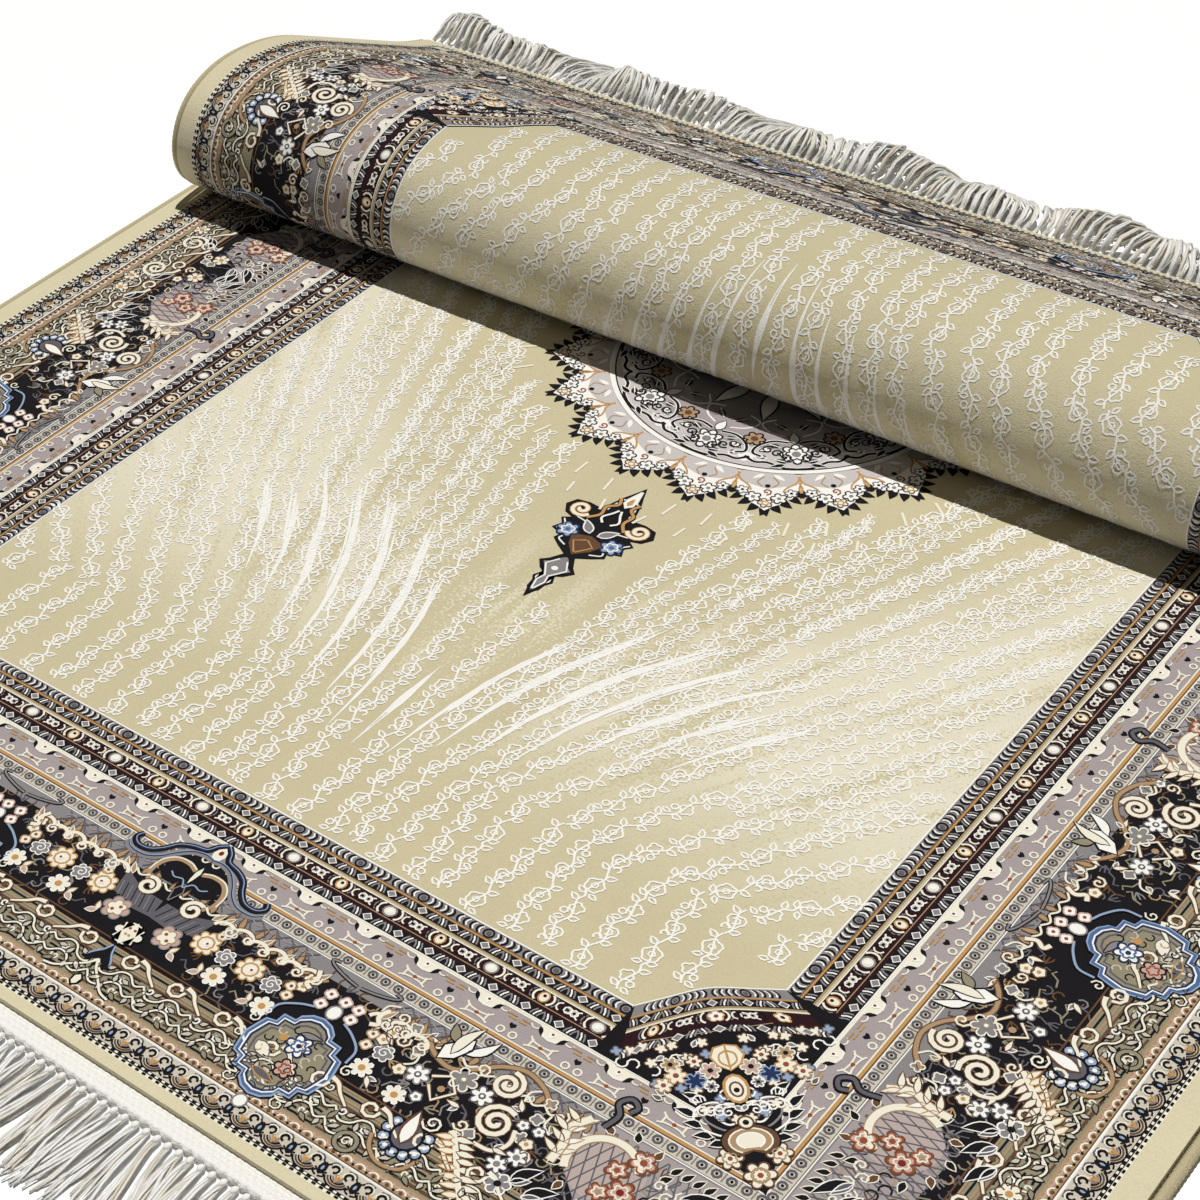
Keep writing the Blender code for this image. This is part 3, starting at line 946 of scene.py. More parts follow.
def horn_group(m):
    """Spirals, a beaded palmette with its drop and a feathered leaf, right of the blue medallion."""
    m.edged(bow([(0.176, 0.112), (0.186, 0.1035), (0.199, 0.1005), (0.21, 0.108), (0.2195, 0.1175), (0.232, 0.1225),
                 (0.246, 0.1185), (0.2545, 0.1105)], 5), 0.0024, "tan", "brown", layer=4)
    m.scroll(0.229, 0.1095, 0.0092, -1.9, 100, 0.0027, "cream", "brown", 5)
    m.scroll(0.2385, 0.0862, 0.0112, 1.9, 60, 0.0029, "cream", "brown", 5)
    m.edged(bow([(0.2495, 0.088), (0.252, 0.079), (0.2475, 0.0705), (0.237, 0.069)], 4), 0.0022, "cream", "brown",
            layer=4)
    m.bordered([(0.1885, 0.1015), (0.1965, 0.1065), (0.201, 0.1165), (0.1985, 0.1235), (0.1925, 0.119),
                (0.1865, 0.1115)], "white", "black", 0.0012, 5)
    m.leaf((0.193, 0.108), (0.1985, 0.133), 0.0065, "cream", "black", 6, 0.002)
    m.leaf((0.199, 0.112), (0.2105, 0.13), 0.006, "white", "black", 6, -0.002)
    m.leaf((0.19, 0.116), (0.183, 0.127), 0.006, "olive", "black", 5)
    for x, y, r, name, edge in ((0.188, 0.087, 0.0066, "white", "grey"), (0.223, 0.0955, 0.0066, "white", "slate"),
                                (0.209, 0.0985, 0.008, "grey", "cream")):
        m.bordered(petals(x, y, r, 6, 0.28), name, edge, 0.001, 5)
        m.patch(ring(x, y, r * 0.33, 7), "slate" if name == "white" else "olive", 7)
        m.patch(ring(x, y, r * 0.16, 6), "white", 8)
    m.edged([(0.1945, 0.0905), (0.203, 0.0965), (0.211, 0.0885), (0.2035, 0.0775), (0.1965, 0.085)], 0.0015, "cream",
            "brown", layer=6)
    m.patch(ring(0.2035, 0.0865, 0.0022, 7), "tan", 6)
    for k in range(9):
        a = math.radians(150 + 30 * k)
        x, y = 0.2085 + 0.0115 * math.cos(a), 0.051 + 0.0115 * math.sin(a)
        m.bordered(ring(x, y, 0.0034, 9), "sky", "black", 0.001, 5)
        m.patch(ring(x, y, 0.0014, 6), "white", 7)
    m.bordered(ring(0.2085, 0.052, 0.0085, 14, 1.1), "slate", "black", 0.0014, 6)
    m.bordered(leaf_outline((0.2085, 0.046), (0.2045, 0.069), 0.0082), "white", "brown", 0.0014, 8)
    m.edged(spiral_path(0.214, 0.0662, 0.0058, 1.5, 200), 0.0013, "cream", "black", layer=6)
    stem = bow([(0.225, 0.069), (0.234, 0.059), (0.244, 0.047), (0.256, 0.034)], 6)
    m.edged(stem, 0.003, "cream", "brown", layer=5)
    for k in range(2, len(stem) - 1, 2):
        x, y = stem[k]
        m.leaf((x, y), (x + 0.0105, y + 0.003), 0.0042, "cream", "brown", 5)
        m.leaf((x, y), (x - 0.009, y - 0.0042), 0.0038, "cream", "gold", 5)
    m.edged(ring(0.186, 0.0305, 0.0058, 14), 0.0022, "olive", "black", layer=5, closed=True)
    m.line(spiral_path(0.186, 0.0305, 0.0036, 1.2, 0), 0.0009, "cream", 7)
    for x, y in ((0.26, 0.0745), (0.2545, 0.0655)):
        m.bordered(petals(x, y, 0.006, 6, 0.3), "white", "slate", 0.0009, 5)
        m.patch(ring(x, y, 0.002, 7), "grey", 7)
    m.flower(0.262, 0.056, 0.007, "grey", "white", "black", 6, 5)
    for k in range(5):
        m.line([(0.218 + 0.0026 * k, 0.0285 + 0.001 * (k % 2)), (0.232 + 0.002 * k, 0.03)], 0.0008, "brown", 3)
    m.edged(bow([(0.193, 0.043), (0.1975, 0.035), (0.207, 0.03), (0.218, 0.033), (0.2225, 0.043)], 5), 0.002, "tan",
            "brown", layer=5)


WHOLE = 0.5  # a border that runs all the way to the corner


def lattice_group(m, last=WHOLE):
    """The lilac lattice before the corner, its basket, rust flowers and flame leaves. It stops at last."""
    end = min(last, 0.37)
    m.patch([(0.272, 0.108), (0.283, 0.1205), (end, 0.1205), (end + 0.004, 0.108), (end - 0.012, 0.09), (0.33, 0.072),
             (0.298, 0.07), (0.279, 0.086)], "lilac", 2)
    m.patch(ring(0.3, 0.095, 0.0205, 20), "shell", 3)
    for k in range(16 if last == WHOLE else 11):
        x = 0.273 + 0.0062 * k
        for lean in (-1, 1):
            start, end = (x, 0.0885 - 0.024 * lean + 0.005), (x + 0.018, 0.0885 + 0.024 * lean + 0.005)
            m.line(np.linspace(start, end, 6), 0.0008, "slate", 4)
    m.edged(arc(0.297, 0.095, 0.0185, 25, 215, 22), 0.004, "cream", "tan", layer=5)
    for k in range(7):
        x = 0.326 + 0.0065 * k
        if x < last - 0.006:
            m.leaf((x, 0.112), (x + 0.004, 0.1195), 0.0042, "black", "cream", 5)
            m.line(spiral_path(x, 0.103 - 0.005 * (k % 2), 0.004, 1.2, 60 * k), 0.0011, "cream", 5)
            m.line(arc(x, 0.09 - 0.004 * (k % 2), 0.0034, 50 * k, 50 * k + 230, 6), 0.0011, "black", 5)
    for k in range(10):
        a = math.radians(200 + 31 * k)
        x, y = 0.302 + 0.0245 * math.cos(a), 0.095 + 0.0235 * math.sin(a)
        m.leaf((x, y), (x + 0.0085 * math.cos(a + 0.5), y + 0.0075 * math.sin(a + 0.5)), 0.0046,
               "brown" if k % 2 else "black", "cream", 5)
    for x, y, r, heart in ((0.312, 0.11, 0.0068, "rust"), (0.304, 0.0985, 0.0056, "rust"),
                           (0.313, 0.088, 0.007, "red"), (0.304, 0.082, 0.0052, "tan")):
        m.patch(petals(x, y, r * 1.25, 5, 0.25), "brown", 5)
        m.bordered(petals(x, y, r, 5, 0.25), "rose", "rust", 0.0011, 6)
        m.line(petals(x, y, r * 0.62, 5, 0.2), 0.0009, "cream", 8, closed=True)
        m.patch(ring(x, y, r * 0.3, 7), heart, 9)
    plume = bow([(0.274, 0.083), (0.2735, 0.095), (0.27, 0.106), (0.276, 0.118)], 6)
    m.edged(plume, 0.0042, "cream", "tan", layer=6)
    for k in range(3, len(plume) - 2, 4):
        x, y = plume[k]
        m.leaf((x, y), (x - 0.011, y + 0.005), 0.004, "cream", "brown", 6)
        m.leaf((x, y), (x + 0.0075, y + 0.0075), 0.0036, "white", "tan", 6)
    m.edged(bow([(0.2835, 0.1165), (0.2855, 0.127), (0.281, 0.134), (0.285, 0.14), (0.2905, 0.137), (0.289, 0.132)],
                5), 0.0024, "slate", "black", rim=0.0012, layer=7)
    for base, tip in (((0.266, 0.06), (0.276, 0.076)), ((0.276, 0.056), (0.29, 0.069)),
                      ((0.338, 0.1), (0.356, 0.114)), ((0.343, 0.092), (0.365, 0.101)),
                      ((0.288, 0.05), (0.305, 0.059)), ((0.32, 0.048), (0.335, 0.06))):
        m.leaf(base, tip, 0.007, "black", "white", 6, 0.0015)
        m.leaf(base, (np.array(base) + np.array(tip)) / 2 + (0.004, -0.001), 0.005, "slate", "white", 6)
    for x, y in ((0.298, 0.038), (0.315, 0.034), (0.34, 0.076), (0.36, 0.086)):
        if x < last:
            m.flower(x, y, 0.0068, "cream", "brown", "gold", 6, 5)
    m.scroll(0.333, 0.042, 0.0105, 1.8, 120, 0.0026, "cream", "brown", 5)
    if last < WHOLE:
        return
    m.scroll(0.368, 0.066, 0.0105, -1.8, 200, 0.0026, "cream", "brown", 5)
    for k in range(8):
        a = math.radians(160 + 32 * k)
        m.bordered(ring(0.393 + 0.0125 * math.cos(a), 0.056 + 0.0125 * math.sin(a), 0.0036, 9), "sky", "black", 0.001,
                   5)
    m.bordered(ring(0.393, 0.056, 0.0088, 14), "slate", "black", 0.0014, 6)
    m.bordered(leaf_outline((0.395, 0.048), (0.387, 0.074), 0.0085), "white", "brown", 0.0014, 8)
    m.scroll(0.418, 0.037, 0.009, 1.6, 20, 0.0024, "cream", "brown", 5)
    m.flower(0.382, 0.093, 0.0075, "rose", "rust", "red", 6, 5)
    m.flower(0.412, 0.076, 0.0065, "white", "slate", "grey", 6, 5)


def arabesque_band(m, last):
    """Short bars under olive and cream vines, with a curl and a tail at every turn."""
    pitch = 0.0335
    for k in range(int(last / pitch) + 1):
        x0 = k * pitch
        for row in range(7):
            y = 0.029 + 0.003 * row
            for j in range(3):
                start = x0 + 0.0112 * j + 0.0045 * ((row * 5 + j * 3) % 4) / 4
                m.line([(start, y), (start + 0.0052, y + 0.0003), (start + 0.007, y)], 0.0013,
                       "black" if (row + j) % 3 else "brown", 2)
        for side in (0, 1):
            low = 0.0305 + 0.009 * side
            vine = bow([(x0, low + 0.006), (x0 + 0.006, low), (x0 + 0.0125, low + 0.0015),
                        (x0 + 0.0165, low + 0.0065), (x0 + 0.0225, low + 0.0075), (x0 + 0.0285, low + 0.003),
                        (x0 + pitch, low + 0.006)], 3)
            m.edged(vine, 0.0012, "cream", "black", layer=4)
            for x, y, turns, start in ((0.005, 0.0055, 1.1, 200), (0.0215, 0.0025, -1.1, 20)):
                m.line(spiral_path(x0 + x, low + y, 0.003, turns, start), 0.0011, "white" if side else "cream", 4)
        for x, y, tx, ty in ((0.01, 0.037, 0.004, 0.032), (0.014, 0.034, 0.013, 0.028),
                             (0.021, 0.0315, 0.027, 0.0275), (0.026, 0.041, 0.02, 0.0425),
                             (0.018, 0.0375, 0.016, 0.044), (0.032, 0.034, 0.031, 0.0285),
                             (0.001, 0.036, 0.0035, 0.0445), (0.008, 0.0435, 0.0125, 0.047)):
            m.bordered(leaf_outline((x0 + x, y), (x0 + tx, ty), 0.0034, 4), "olive" if int(x * 1000) % 2 else "linen",
                       "black", 0.0007, 5)
        for row in range(4):
            y = 0.048 + 0.0031 * row
            m.line([(x0 - 0.006, y), (x0 + 0.01, y + 0.0002), (x0 + 0.0275, y)], 0.0012,
                   ("brown", "tan", "black", "tan")[row], 3)
        tail = bow([(x0 + 0.02, 0.059), (x0 + 0.0255, 0.0575), (x0 + 0.03, 0.053), (x0 + 0.0375, 0.0478)], 4)
        m.edged(tail, np.linspace(0.0028, 0.0012, len(tail)), "cream", "brown", layer=5)
        m.edged(spiral_path(x0 + 0.0155, 0.0545, 0.0056, -1.0, 10, 0.55), 0.0018, "cream", "brown", layer=5)
        m.patch(ring(x0 + 0.0155, 0.0545, 0.002, 7, 0.8), "brown", 5)
    m.line(np.linspace((0, 0.061), (last, 0.061), 60), 0.001, "brown", 3)


def upper_fringe_of_ground(m, last):
    """The lilac lattice and scalloped leaves along the dark ground's inner edge."""
    for k in range(int(last / 0.0105)):
        x = 0.0052 + 0.0105 * k
        if 0.098 < x < 0.15:
            continue
        m.line([(x - 0.005, 0.1212), (x, 0.117), (x + 0.004, 0.1125)], 0.0009, "slate", 3)
        m.line([(x + 0.005, 0.1212), (x, 0.1165), (x - 0.003, 0.1125)], 0.0009, "slate", 3)
        m.line([(x - 0.005, 0.1165), (x, 0.119), (x + 0.005, 0.1165)], 0.0007, "lilac", 3)
        tip = (x + 0.003 * (1 if k % 2 else -1), 0.1185)
        m.leaf((x, 0.1075), tip, 0.0038, "tan", "brown", 3)
        m.line(bow([(x - 0.005, 0.11), (x, 0.1068), (x + 0.005, 0.11)], 4), 0.0013, "cream", 4)


KEEP_CLEAR = (
    # x, y, radius: places on the dark ground that the sprigs leave alone
    (0.0, 0.1, 0.05), (0.04, 0.09, 0.012), (0.055, 0.085, 0.012), (0.071, 0.09, 0.012), (0.09, 0.085, 0.012),
    (0.126, 0.06, 0.044), (0.126, 0.1, 0.022), (0.165, 0.0875, 0.009), (0.162, 0.073, 0.009),
    (0.1865, 0.069, 0.009), (0.188, 0.087, 0.009), (0.195, 0.115, 0.014), (0.203, 0.087, 0.01),
    (0.209, 0.0985, 0.01), (0.223, 0.0955, 0.009), (0.229, 0.1095, 0.012), (0.2385, 0.086, 0.014),
    (0.2085, 0.055, 0.02), (0.24, 0.05, 0.02), (0.262, 0.06, 0.016), (0.3, 0.09, 0.038), (0.345, 0.1, 0.026),
    (0.333, 0.042, 0.014), (0.368, 0.066, 0.013), (0.393, 0.058, 0.02), (0.418, 0.037, 0.012),
)


def sprigs(m, x_range, y_range, spacing, seed):
    """Small flowers, leaves and curls that fill the ground between the larger motifs."""
    rng = np.random.default_rng(seed)
    for x0 in np.arange(*x_range, spacing):
        for y0 in np.arange(*y_range, spacing):
            x, y = (x0, y0) + rng.uniform(-0.3, 0.3, 2) * spacing
            kind, turn = rng.integers(6), rng.uniform(0, 360)
            if x + y > 0.5 or any(math.hypot(x - a, y - b) < r for a, b, r in KEEP_CLEAR):
                continue
            way = np.array([math.cos(math.radians(turn)), math.sin(math.radians(turn))])
            at = np.array([x, y])
            if kind == 0:
                m.flower(x, y, 0.0042, "cream", "brown", "gold", 5, 4, turn)
            elif kind == 1:
                m.flower(x, y, 0.0036, "white", "slate", "grey", 5, 4, turn)
            elif kind == 2:
                m.leaf(at - way * 0.004, at + way * 0.005, 0.0034, "cream", "brown", 4)
                side = np.array([-way[1], way[0]])
                m.leaf(at - way * 0.003, at + side * 0.005, 0.0028, "grey", "white", 4)
            elif kind == 3:
                m.edged(spiral_path(x, y, 0.0046, 1.3 if turn > 180 else -1.3, turn), 0.0012, "cream", "brown",
                        layer=4)
            elif kind == 4:
                m.line(bow([at - way * 0.006, at + (way[1] * 0.003, -way[0] * 0.003), at + way * 0.006], 5), 0.0012,
                       "cream", 4)
                m.leaf(at, at + way * 0.0055, 0.0028, "olive", "cream", 4, 0.001)
            else:
                m.bordered(petals(x, y, 0.0038, 4, 0.3, turn=turn), "grey", "cream", 0.0009, 4)


def undergrowth(m, x_range, seed):
    """Dim curls and blades close together, so that little of the dark ground is bare."""
    rng = np.random.default_rng(seed)
    tones = ("slate", "brown", "grey", "tan", "olive", "slate")
    for x0 in np.arange(*x_range, 0.008):
        for y0 in np.arange(0.064, 0.112, 0.0078):
            x, y = (x0, y0) + rng.uniform(-0.4, 0.4, 2) * 0.007
            turn, kind, tone = rng.uniform(0, 2 * math.pi), rng.integers(3), tones[rng.integers(6)]
            if x + y > 0.5 or math.hypot(x - 0.126, y - 0.06) < 0.04:
                continue
            way = np.array([math.cos(turn), math.sin(turn)])
            at = np.array([x, y])
            side = np.array([-way[1], way[0]])
            if kind == 0:
                m.line([at - way * 0.005, at + side * 0.002, at + way * 0.005, at + way * 0.006 + side * 0.003],
                       0.001, tone, 2)
            elif kind == 1:
                m.line(arc(x, y, 0.003, math.degrees(turn), math.degrees(turn) + 240, 6), 0.001, tone, 2)
            else:
                for k in (-1, 0, 1):
                    m.line([at, at + way * 0.0035 + side * 0.0024 * k, at + way * 0.0058 + side * 0.0026 * k], 0.0009,
                           tone, 2)


DARK = (0.065, 0.112)  # how far in the dark ground lies open to the sprigs


def end_border():
    """The main border of one quarter, from the rug's middle line to the corner's mitre."""
    m = Motif()
    arabesque_band(m, 0.455)
    upper_fringe_of_ground(m, 0.285)
    spray(m)
    blue_medallion(m)
    horn_group(m)
    lattice_group(m)
    undergrowth(m, (0.045, 0.42), 5)
    sprigs(m, (0.142, 0.45), DARK, 0.0092, 3)
    sprigs(m, (0.1, 0.16), (0.062, 0.112), 0.0085, 6)
    return m


def make_border():
    """The border of the rug's ends, with the crest in its middle."""
    m = Motif()
    for part in (end_border(), cartouche_half()):
        m.stamp(part, [(0, 0, 0, 1, 1)])
    return weave("end_border", m)


def make_side_border():
    """The same border turned at the corner, then mirrored about the blue medallion half way along."""
    corner = Motif()
    arabesque_band(corner, 0.455)
    horn_group(corner)
    lattice_group(corner)
    undergrowth(corner, (0.142, 0.42), 5)
    sprigs(corner, (0.142, 0.45), DARK, 0.0092, 3)
    blue = Motif()
    blue_medallion(blue)
    onward = Motif()
    horn_group(onward)
    lattice_group(onward, 0.352)
    undergrowth(onward, (0.155, 0.352), 5)
    sprigs(onward, (0.155, 0.352), DARK, 0.0112, 3)
    back = Motif()
    lattice_group(back, 0.352)
    sprigs(back, (0.225, 0.352), DARK, 0.0105, 3)
    for k in range(4):
        back.scroll(0.229 + 0.018 * (k % 2), 0.056 + 0.016 * k, 0.0085, 1.8 - 3.6 * (k % 2), 90 * k, 0.0026, "cream",
                    "brown", 5)
    band = Motif()
    arabesque_band(band, 0.255)
    teeth = Motif()
    upper_fringe_of_ground(teeth, 0.4)
    m = Motif()
    turned = ((0, -1), (-1, 0))  # the end border's x runs back along the side, and its y runs inwards
    mirrored = ((0, -1), (1, 0))
    m.reflected(corner, turned, (0.5, 0.5))
    m.reflected(blue, turned, (0.5, 0.508))
    m.reflected(onward, mirrored, (0.5, 0.256))
    m.reflected(back, turned, (0.5, 0.966))
    m.reflected(band, turned, (0.5, 0.752))
    m.reflected(teeth, mirrored, (0.5, 0.34))
    return weave("side_border", m)


# ---------------------------------------------------------------- corner fans, medallion, pendants and field

COVER = 8  # the corner fans lie over the straight stripes by this many layers
FAN_TIP = np.array((0.37, 0.13))


def along_path(points, shares):
    """Places at shares of a path's length."""
    step = np.hypot(*np.diff(points, axis=0).T)
    run = np.concatenate([[0], np.cumsum(step)])
    return np.stack([np.interp(shares, run / run[-1], points[:, k]) for k in range(2)], axis=-1)


def fan_stripes(m):
    """The leaf, bead and crescent stripes carried round the corner on a curve that bows into the field."""
    low, high, length = 0.1552, FIELD_EDGE, 0.104
    field_side = bow([(0.25, 0.1935), (0.259, 0.2065), (0.2735, 0.2265), (0.2935, 0.241), (0.3065, 0.25)], 8)
    corner_side = bow([(0.264, 0.1552), (0.2775, 0.179), (0.296, 0.204), (0.321, 0.2225), (0.3448, 0.236)], 8)
    run = Motif()
    starts = [s for s, _ in BANDS] + [1.0]
    for k, (start, name) in enumerate(BANDS):
        if low <= start < high:
            end = starts[k + 1]
            run.line([(x, (start + end) / 2) for x in np.linspace(0, length, 36)], end - start, name, 0)
    for a, b in LEAFY:
        run.stamp(leafy_motif(a, b, 0.0208), [(0.0104 + 0.0208 * k, 0, 0, 1, 1) for k in range(5)])
    run.stamp(bead_motif(), [(0.0173, 0, 0, 0.98, 1)])
    run.flower(0.052, 0.1688, 0.0046, "white", "gold", "rust", 5, 7)
    run.flower(0.0865, 0.169, 0.0042, "cream", "gold", "maroon", 5, 5)
    run.stamp(crescent_motif(), [(0.029, 0, 0, 1, 1), (0.075, 0, 0, 1, 1)])
    for inward, width, name in ((0.1742, 0.0008, "cream"), (0.1764, 0.0009, "tan"), (0.1842, 0.001, "gold"),
                                (0.1931, 0.001, "white")):
        run.line([(x, inward) for x in np.linspace(0, length, 36)], width, name, 3)
    points, heights, faces, yarns = run.gathered()
    shares = np.clip(points[:, 0] / length, 0, 1)
    across = ((high - points[:, 1]) / (high - low))[:, None]
    a, b = along_path(field_side, shares), along_path(corner_side, shares)
    outline = np.vstack([field_side, [(0.3448, 0.25), (0.3448, 0.21), (0.345, 0.185), (0.36, 0.16)], FAN_TIP,
                         [(0.34, 0.14), (0.315, 0.155), (0.29, 0.1552), (0.25, 0.1552)]])
    m.patch(outline, "black", COVER)
    m.add(a + (b - a) * across, heights + (COVER + 1) * LAYER, faces, yarns)


def fan_half():
    """Inside a corner fan, seen from its tip with +y towards the field: one half of it."""
    m = Motif()
    t = COVER + 2
    # the plain dark tip and its three flowers
    for x, y, r in ((0.0, 0.012, 0.0085), (0.0125, 0.024, 0.007)):
        m.bordered(petals(x, y, r, 6, 0.24), "cream", "brown", 0.001, t)
        m.line(petals(x, y, r * 0.55, 5), 0.0009, "tan", t + 2, closed=True)
        m.patch(ring(x, y, r * 0.2, 6), "rust", t + 3)
    # a palmette of three cups over a brown fan
    for k, (name, edge) in enumerate((("brown", "black"), ("tan", "cream"), ("cream", "white"))):
        r = 0.015 - 0.004 * k
        fan = [(0, 0.027 + 0.001 * k)] + [tuple(p) for p in arc(0, 0.0335, r, -60, 90, 9, 0.72)]
        m.patch(fan, name, t + 1 + k)
        m.line(arc(0, 0.0335, r, -60, 90, 9, 0.72), 0.001, edge, t + 2 + k)
    m.bordered(ring(0, 0.045, 0.004, 9), "cream", "brown", 0.001, t + 5)
    m.patch(ring(0, 0.045, 0.0017, 7), "black", t + 7)
    # nested white scrolls to both sides, narrowing upwards
    for k in range(4):
        r = 0.0245 - 0.0052 * k
        m.line(bow([(0.003, 0.0415 + 0.0022 * k), (0.35 * r + 0.004, 0.038 + 0.0035 * k), (r, 0.047 + 0.002 * k),
                    (r * 0.94, 0.0565), (0.55 * r, 0.06 - 0.0008 * k), (0.003, 0.0555 + 0.001 * k)], 5), 0.0012,
               "white" if k % 2 == 0 else "grey", t)
        m.line(spiral_path(r * 0.8, 0.0545 - 0.0006 * k, 0.0036, -1.3, 120), 0.001, "white", t + 2)
    for x, y, tx, ty in ((0.022, 0.045, 0.031, 0.0495), (0.018, 0.038, 0.028, 0.0405), (0.024, 0.052, 0.0335, 0.059),
                         (0.013, 0.033, 0.0215, 0.033), (0.019, 0.061, 0.028, 0.068)):
        m.leaf((x, y), (tx, ty), 0.005, "black", "white", t, 0.001)
    # the gold drop, the navy flower and the rosettes round it
    m.bordered(ring(0, 0.067, 0.0062, 12, 1.45), "cream", "gold", 0.0016, t + 4)
    m.line(ring(0, 0.0665, 0.0034, 9, 1.4), 0.001, "brown", t + 6, closed=True)
    m.patch(ring(0, 0.066, 0.0016, 7), "black", t + 7)
    m.bordered(petals(0.0195, 0.0745, 0.0056, 6, 0.3), "navy", "sky", 0.0009, t + 3)
    for x, y, r, name, edge in ((0.0105, 0.0805, 0.0056, "rose", "cream"), (0.0285, 0.0795, 0.0058, "cream", "gold"),
                                (0.036, 0.074, 0.005, "cream", "tan"), (0.03, 0.087, 0.005, "tan", "cream"),
                                (0.0175, 0.0875, 0.0046, "cream", "brown"), (0.012, 0.07, 0.0036, "grey", "white")):
        m.bordered(petals(x, y, r, 6, 0.25), name, edge, 0.0009, t + 2)
        m.patch(ring(x, y, r * 0.3, 6), "rust" if name == "cream" else "black", t + 4)
    m.bordered([(0, 0.0965), (0.006, 0.095), (0.0088, 0.089), (0.006, 0.083), (0, 0.079), (-0.0001, 0.088)], "cream",
               "gold", 0.0012, t + 3)
    m.line(bow([(0.0, 0.0925), (0.004, 0.09), (0.0042, 0.085), (0.0, 0.0815)], 4), 0.001, "gold", t + 5)
    rng = np.random.default_rng(4)
    for v in np.arange(0.034, 0.108, 0.0072):
        for u in np.arange(0.004, 0.06, 0.0072):
            x, y = (u, v) + rng.uniform(-0.3, 0.3, 2) * 0.0072
            kind, turn = rng.integers(4), rng.uniform(0, 6.28)
            if x > y - 0.035 or y > 0.1 + 0.1 * x or math.hypot(x, y - 0.085) < 0.012:
                continue
            if kind == 0:
                m.bordered(petals(x, y, 0.0036, 5, 0.25), "cream", "brown", 0.0008, t)
            elif kind == 1:
                m.line(arc(x, y, 0.0032, math.degrees(turn), math.degrees(turn) + 250, 7), 0.001, "white", t)
            elif kind == 2:
                m.leaf((x, y), (x + 0.0055 * math.cos(turn), y + 0.0055 * math.sin(turn)), 0.003, "grey", "white", t)
            else:
                m.bordered(petals(x, y, 0.0032, 4, 0.25), "sky", "slate", 0.0008, t)
    for k in range(9):
        m.leaf((0.0385 - 0.0022 * k, 0.065 + 0.003 * k), (0.043 - 0.0022 * k, 0.069 + 0.003 * k), 0.0034,
               "grey" if k % 2 else "slate", "cream", t)
    return m


def make_fans():
    """A corner fan: the stripes round it, and its two halves about the mitre."""
    m = Motif()
    fan_stripes(m)
    half = fan_half()
    c = math.sqrt(0.5)
    for side in (1, -1):
        m.reflected(half, ((c * side, -c), (c * side, c)), FAN_TIP)
    return weave("corner_fans", m)


def lobe_motif():
    """One lobe of the medallion's rim, its middle up the y axis and the medallion's centre at the origin."""
    m = Motif()
    edge = [(0.0, 0.164), (0.005, 0.159), (0.0095, 0.156), (0.0115, 0.151), (0.0168, 0.149), (0.0188, 0.143),
            (0.0208, 0.137), (0.0195, 0.1215)]
    outline = np.array(edge + [(-x, y) for x, y in edge[:0:-1]])
    m.patch(outline, "white", 2)
    m.patch([(0, 0.14), (0.019, 0.133), (0.0192, 0.1215), (-0.0192, 0.1215), (-0.019, 0.133)], "pale", 3)
    for side in (-1, 1):
        for x, y, tx, ty, w in ((0.0, 0.157, 0.0024, 0.17, 0.007), (0.005, 0.1545, 0.0112, 0.1655, 0.0068),
                                (0.0095, 0.15, 0.018, 0.159, 0.0066), (0.015, 0.144, 0.0238, 0.1535, 0.0064),
                                (0.0185, 0.1385, 0.0246, 0.147, 0.0056)):
            m.patch(leaf_outline((side * x, y), (side * tx, ty), w, bend=0.0012 * side), "black", 1)
        m.bordered(petals(side * 0.0085, 0.15, 0.0056, 5, 0.24), "white", "black", 0.0011, 4)
        m.patch(ring(side * 0.0085, 0.15, 0.0016, 6), "grey", 6)
        m.bordered(petals(side * 0.016, 0.1432, 0.0044, 5, 0.24), "white", "slate", 0.001, 4)
        m.patch(ring(side * 0.016, 0.1432, 0.0012, 6), "black", 6)
        m.line(bow(flip(side, [(0.0203, 0.1235), (0.0185, 0.131), (0.0125, 0.1375), (0.0105, 0.1425)]), 4), 0.0013,
               "gold", 4)
        m.line(bow(flip(side, [(0.0215, 0.13), (0.0205, 0.137), (0.0222, 0.142)]), 3), 0.0011, "gold", 4)
        m.line(bow(flip(side, [(0.003, 0.127), (0.007, 0.133), (0.0035, 0.138)]), 4), 0.0009, "tan", 5)
        m.patch(leaf_outline(*flip(side, [(0.003, 0.124), (0.011, 0.13)]), 0.0036), "white", 4)
    m.bordered(petals(0, 0.156, 0.005, 5, 0.24), "cream", "brown", 0.001, 5)
    m.line(ring(0, 0.156, 0.0022, 7), 0.0009, "gold", 7, closed=True)
    m.line(spiral_path(0, 0.1435, 0.0036, 1.2, 90), 0.0011, "rust", 5)
    m.patch(ring(0, 0.137, 0.002, 7), "black", 5)
    return m


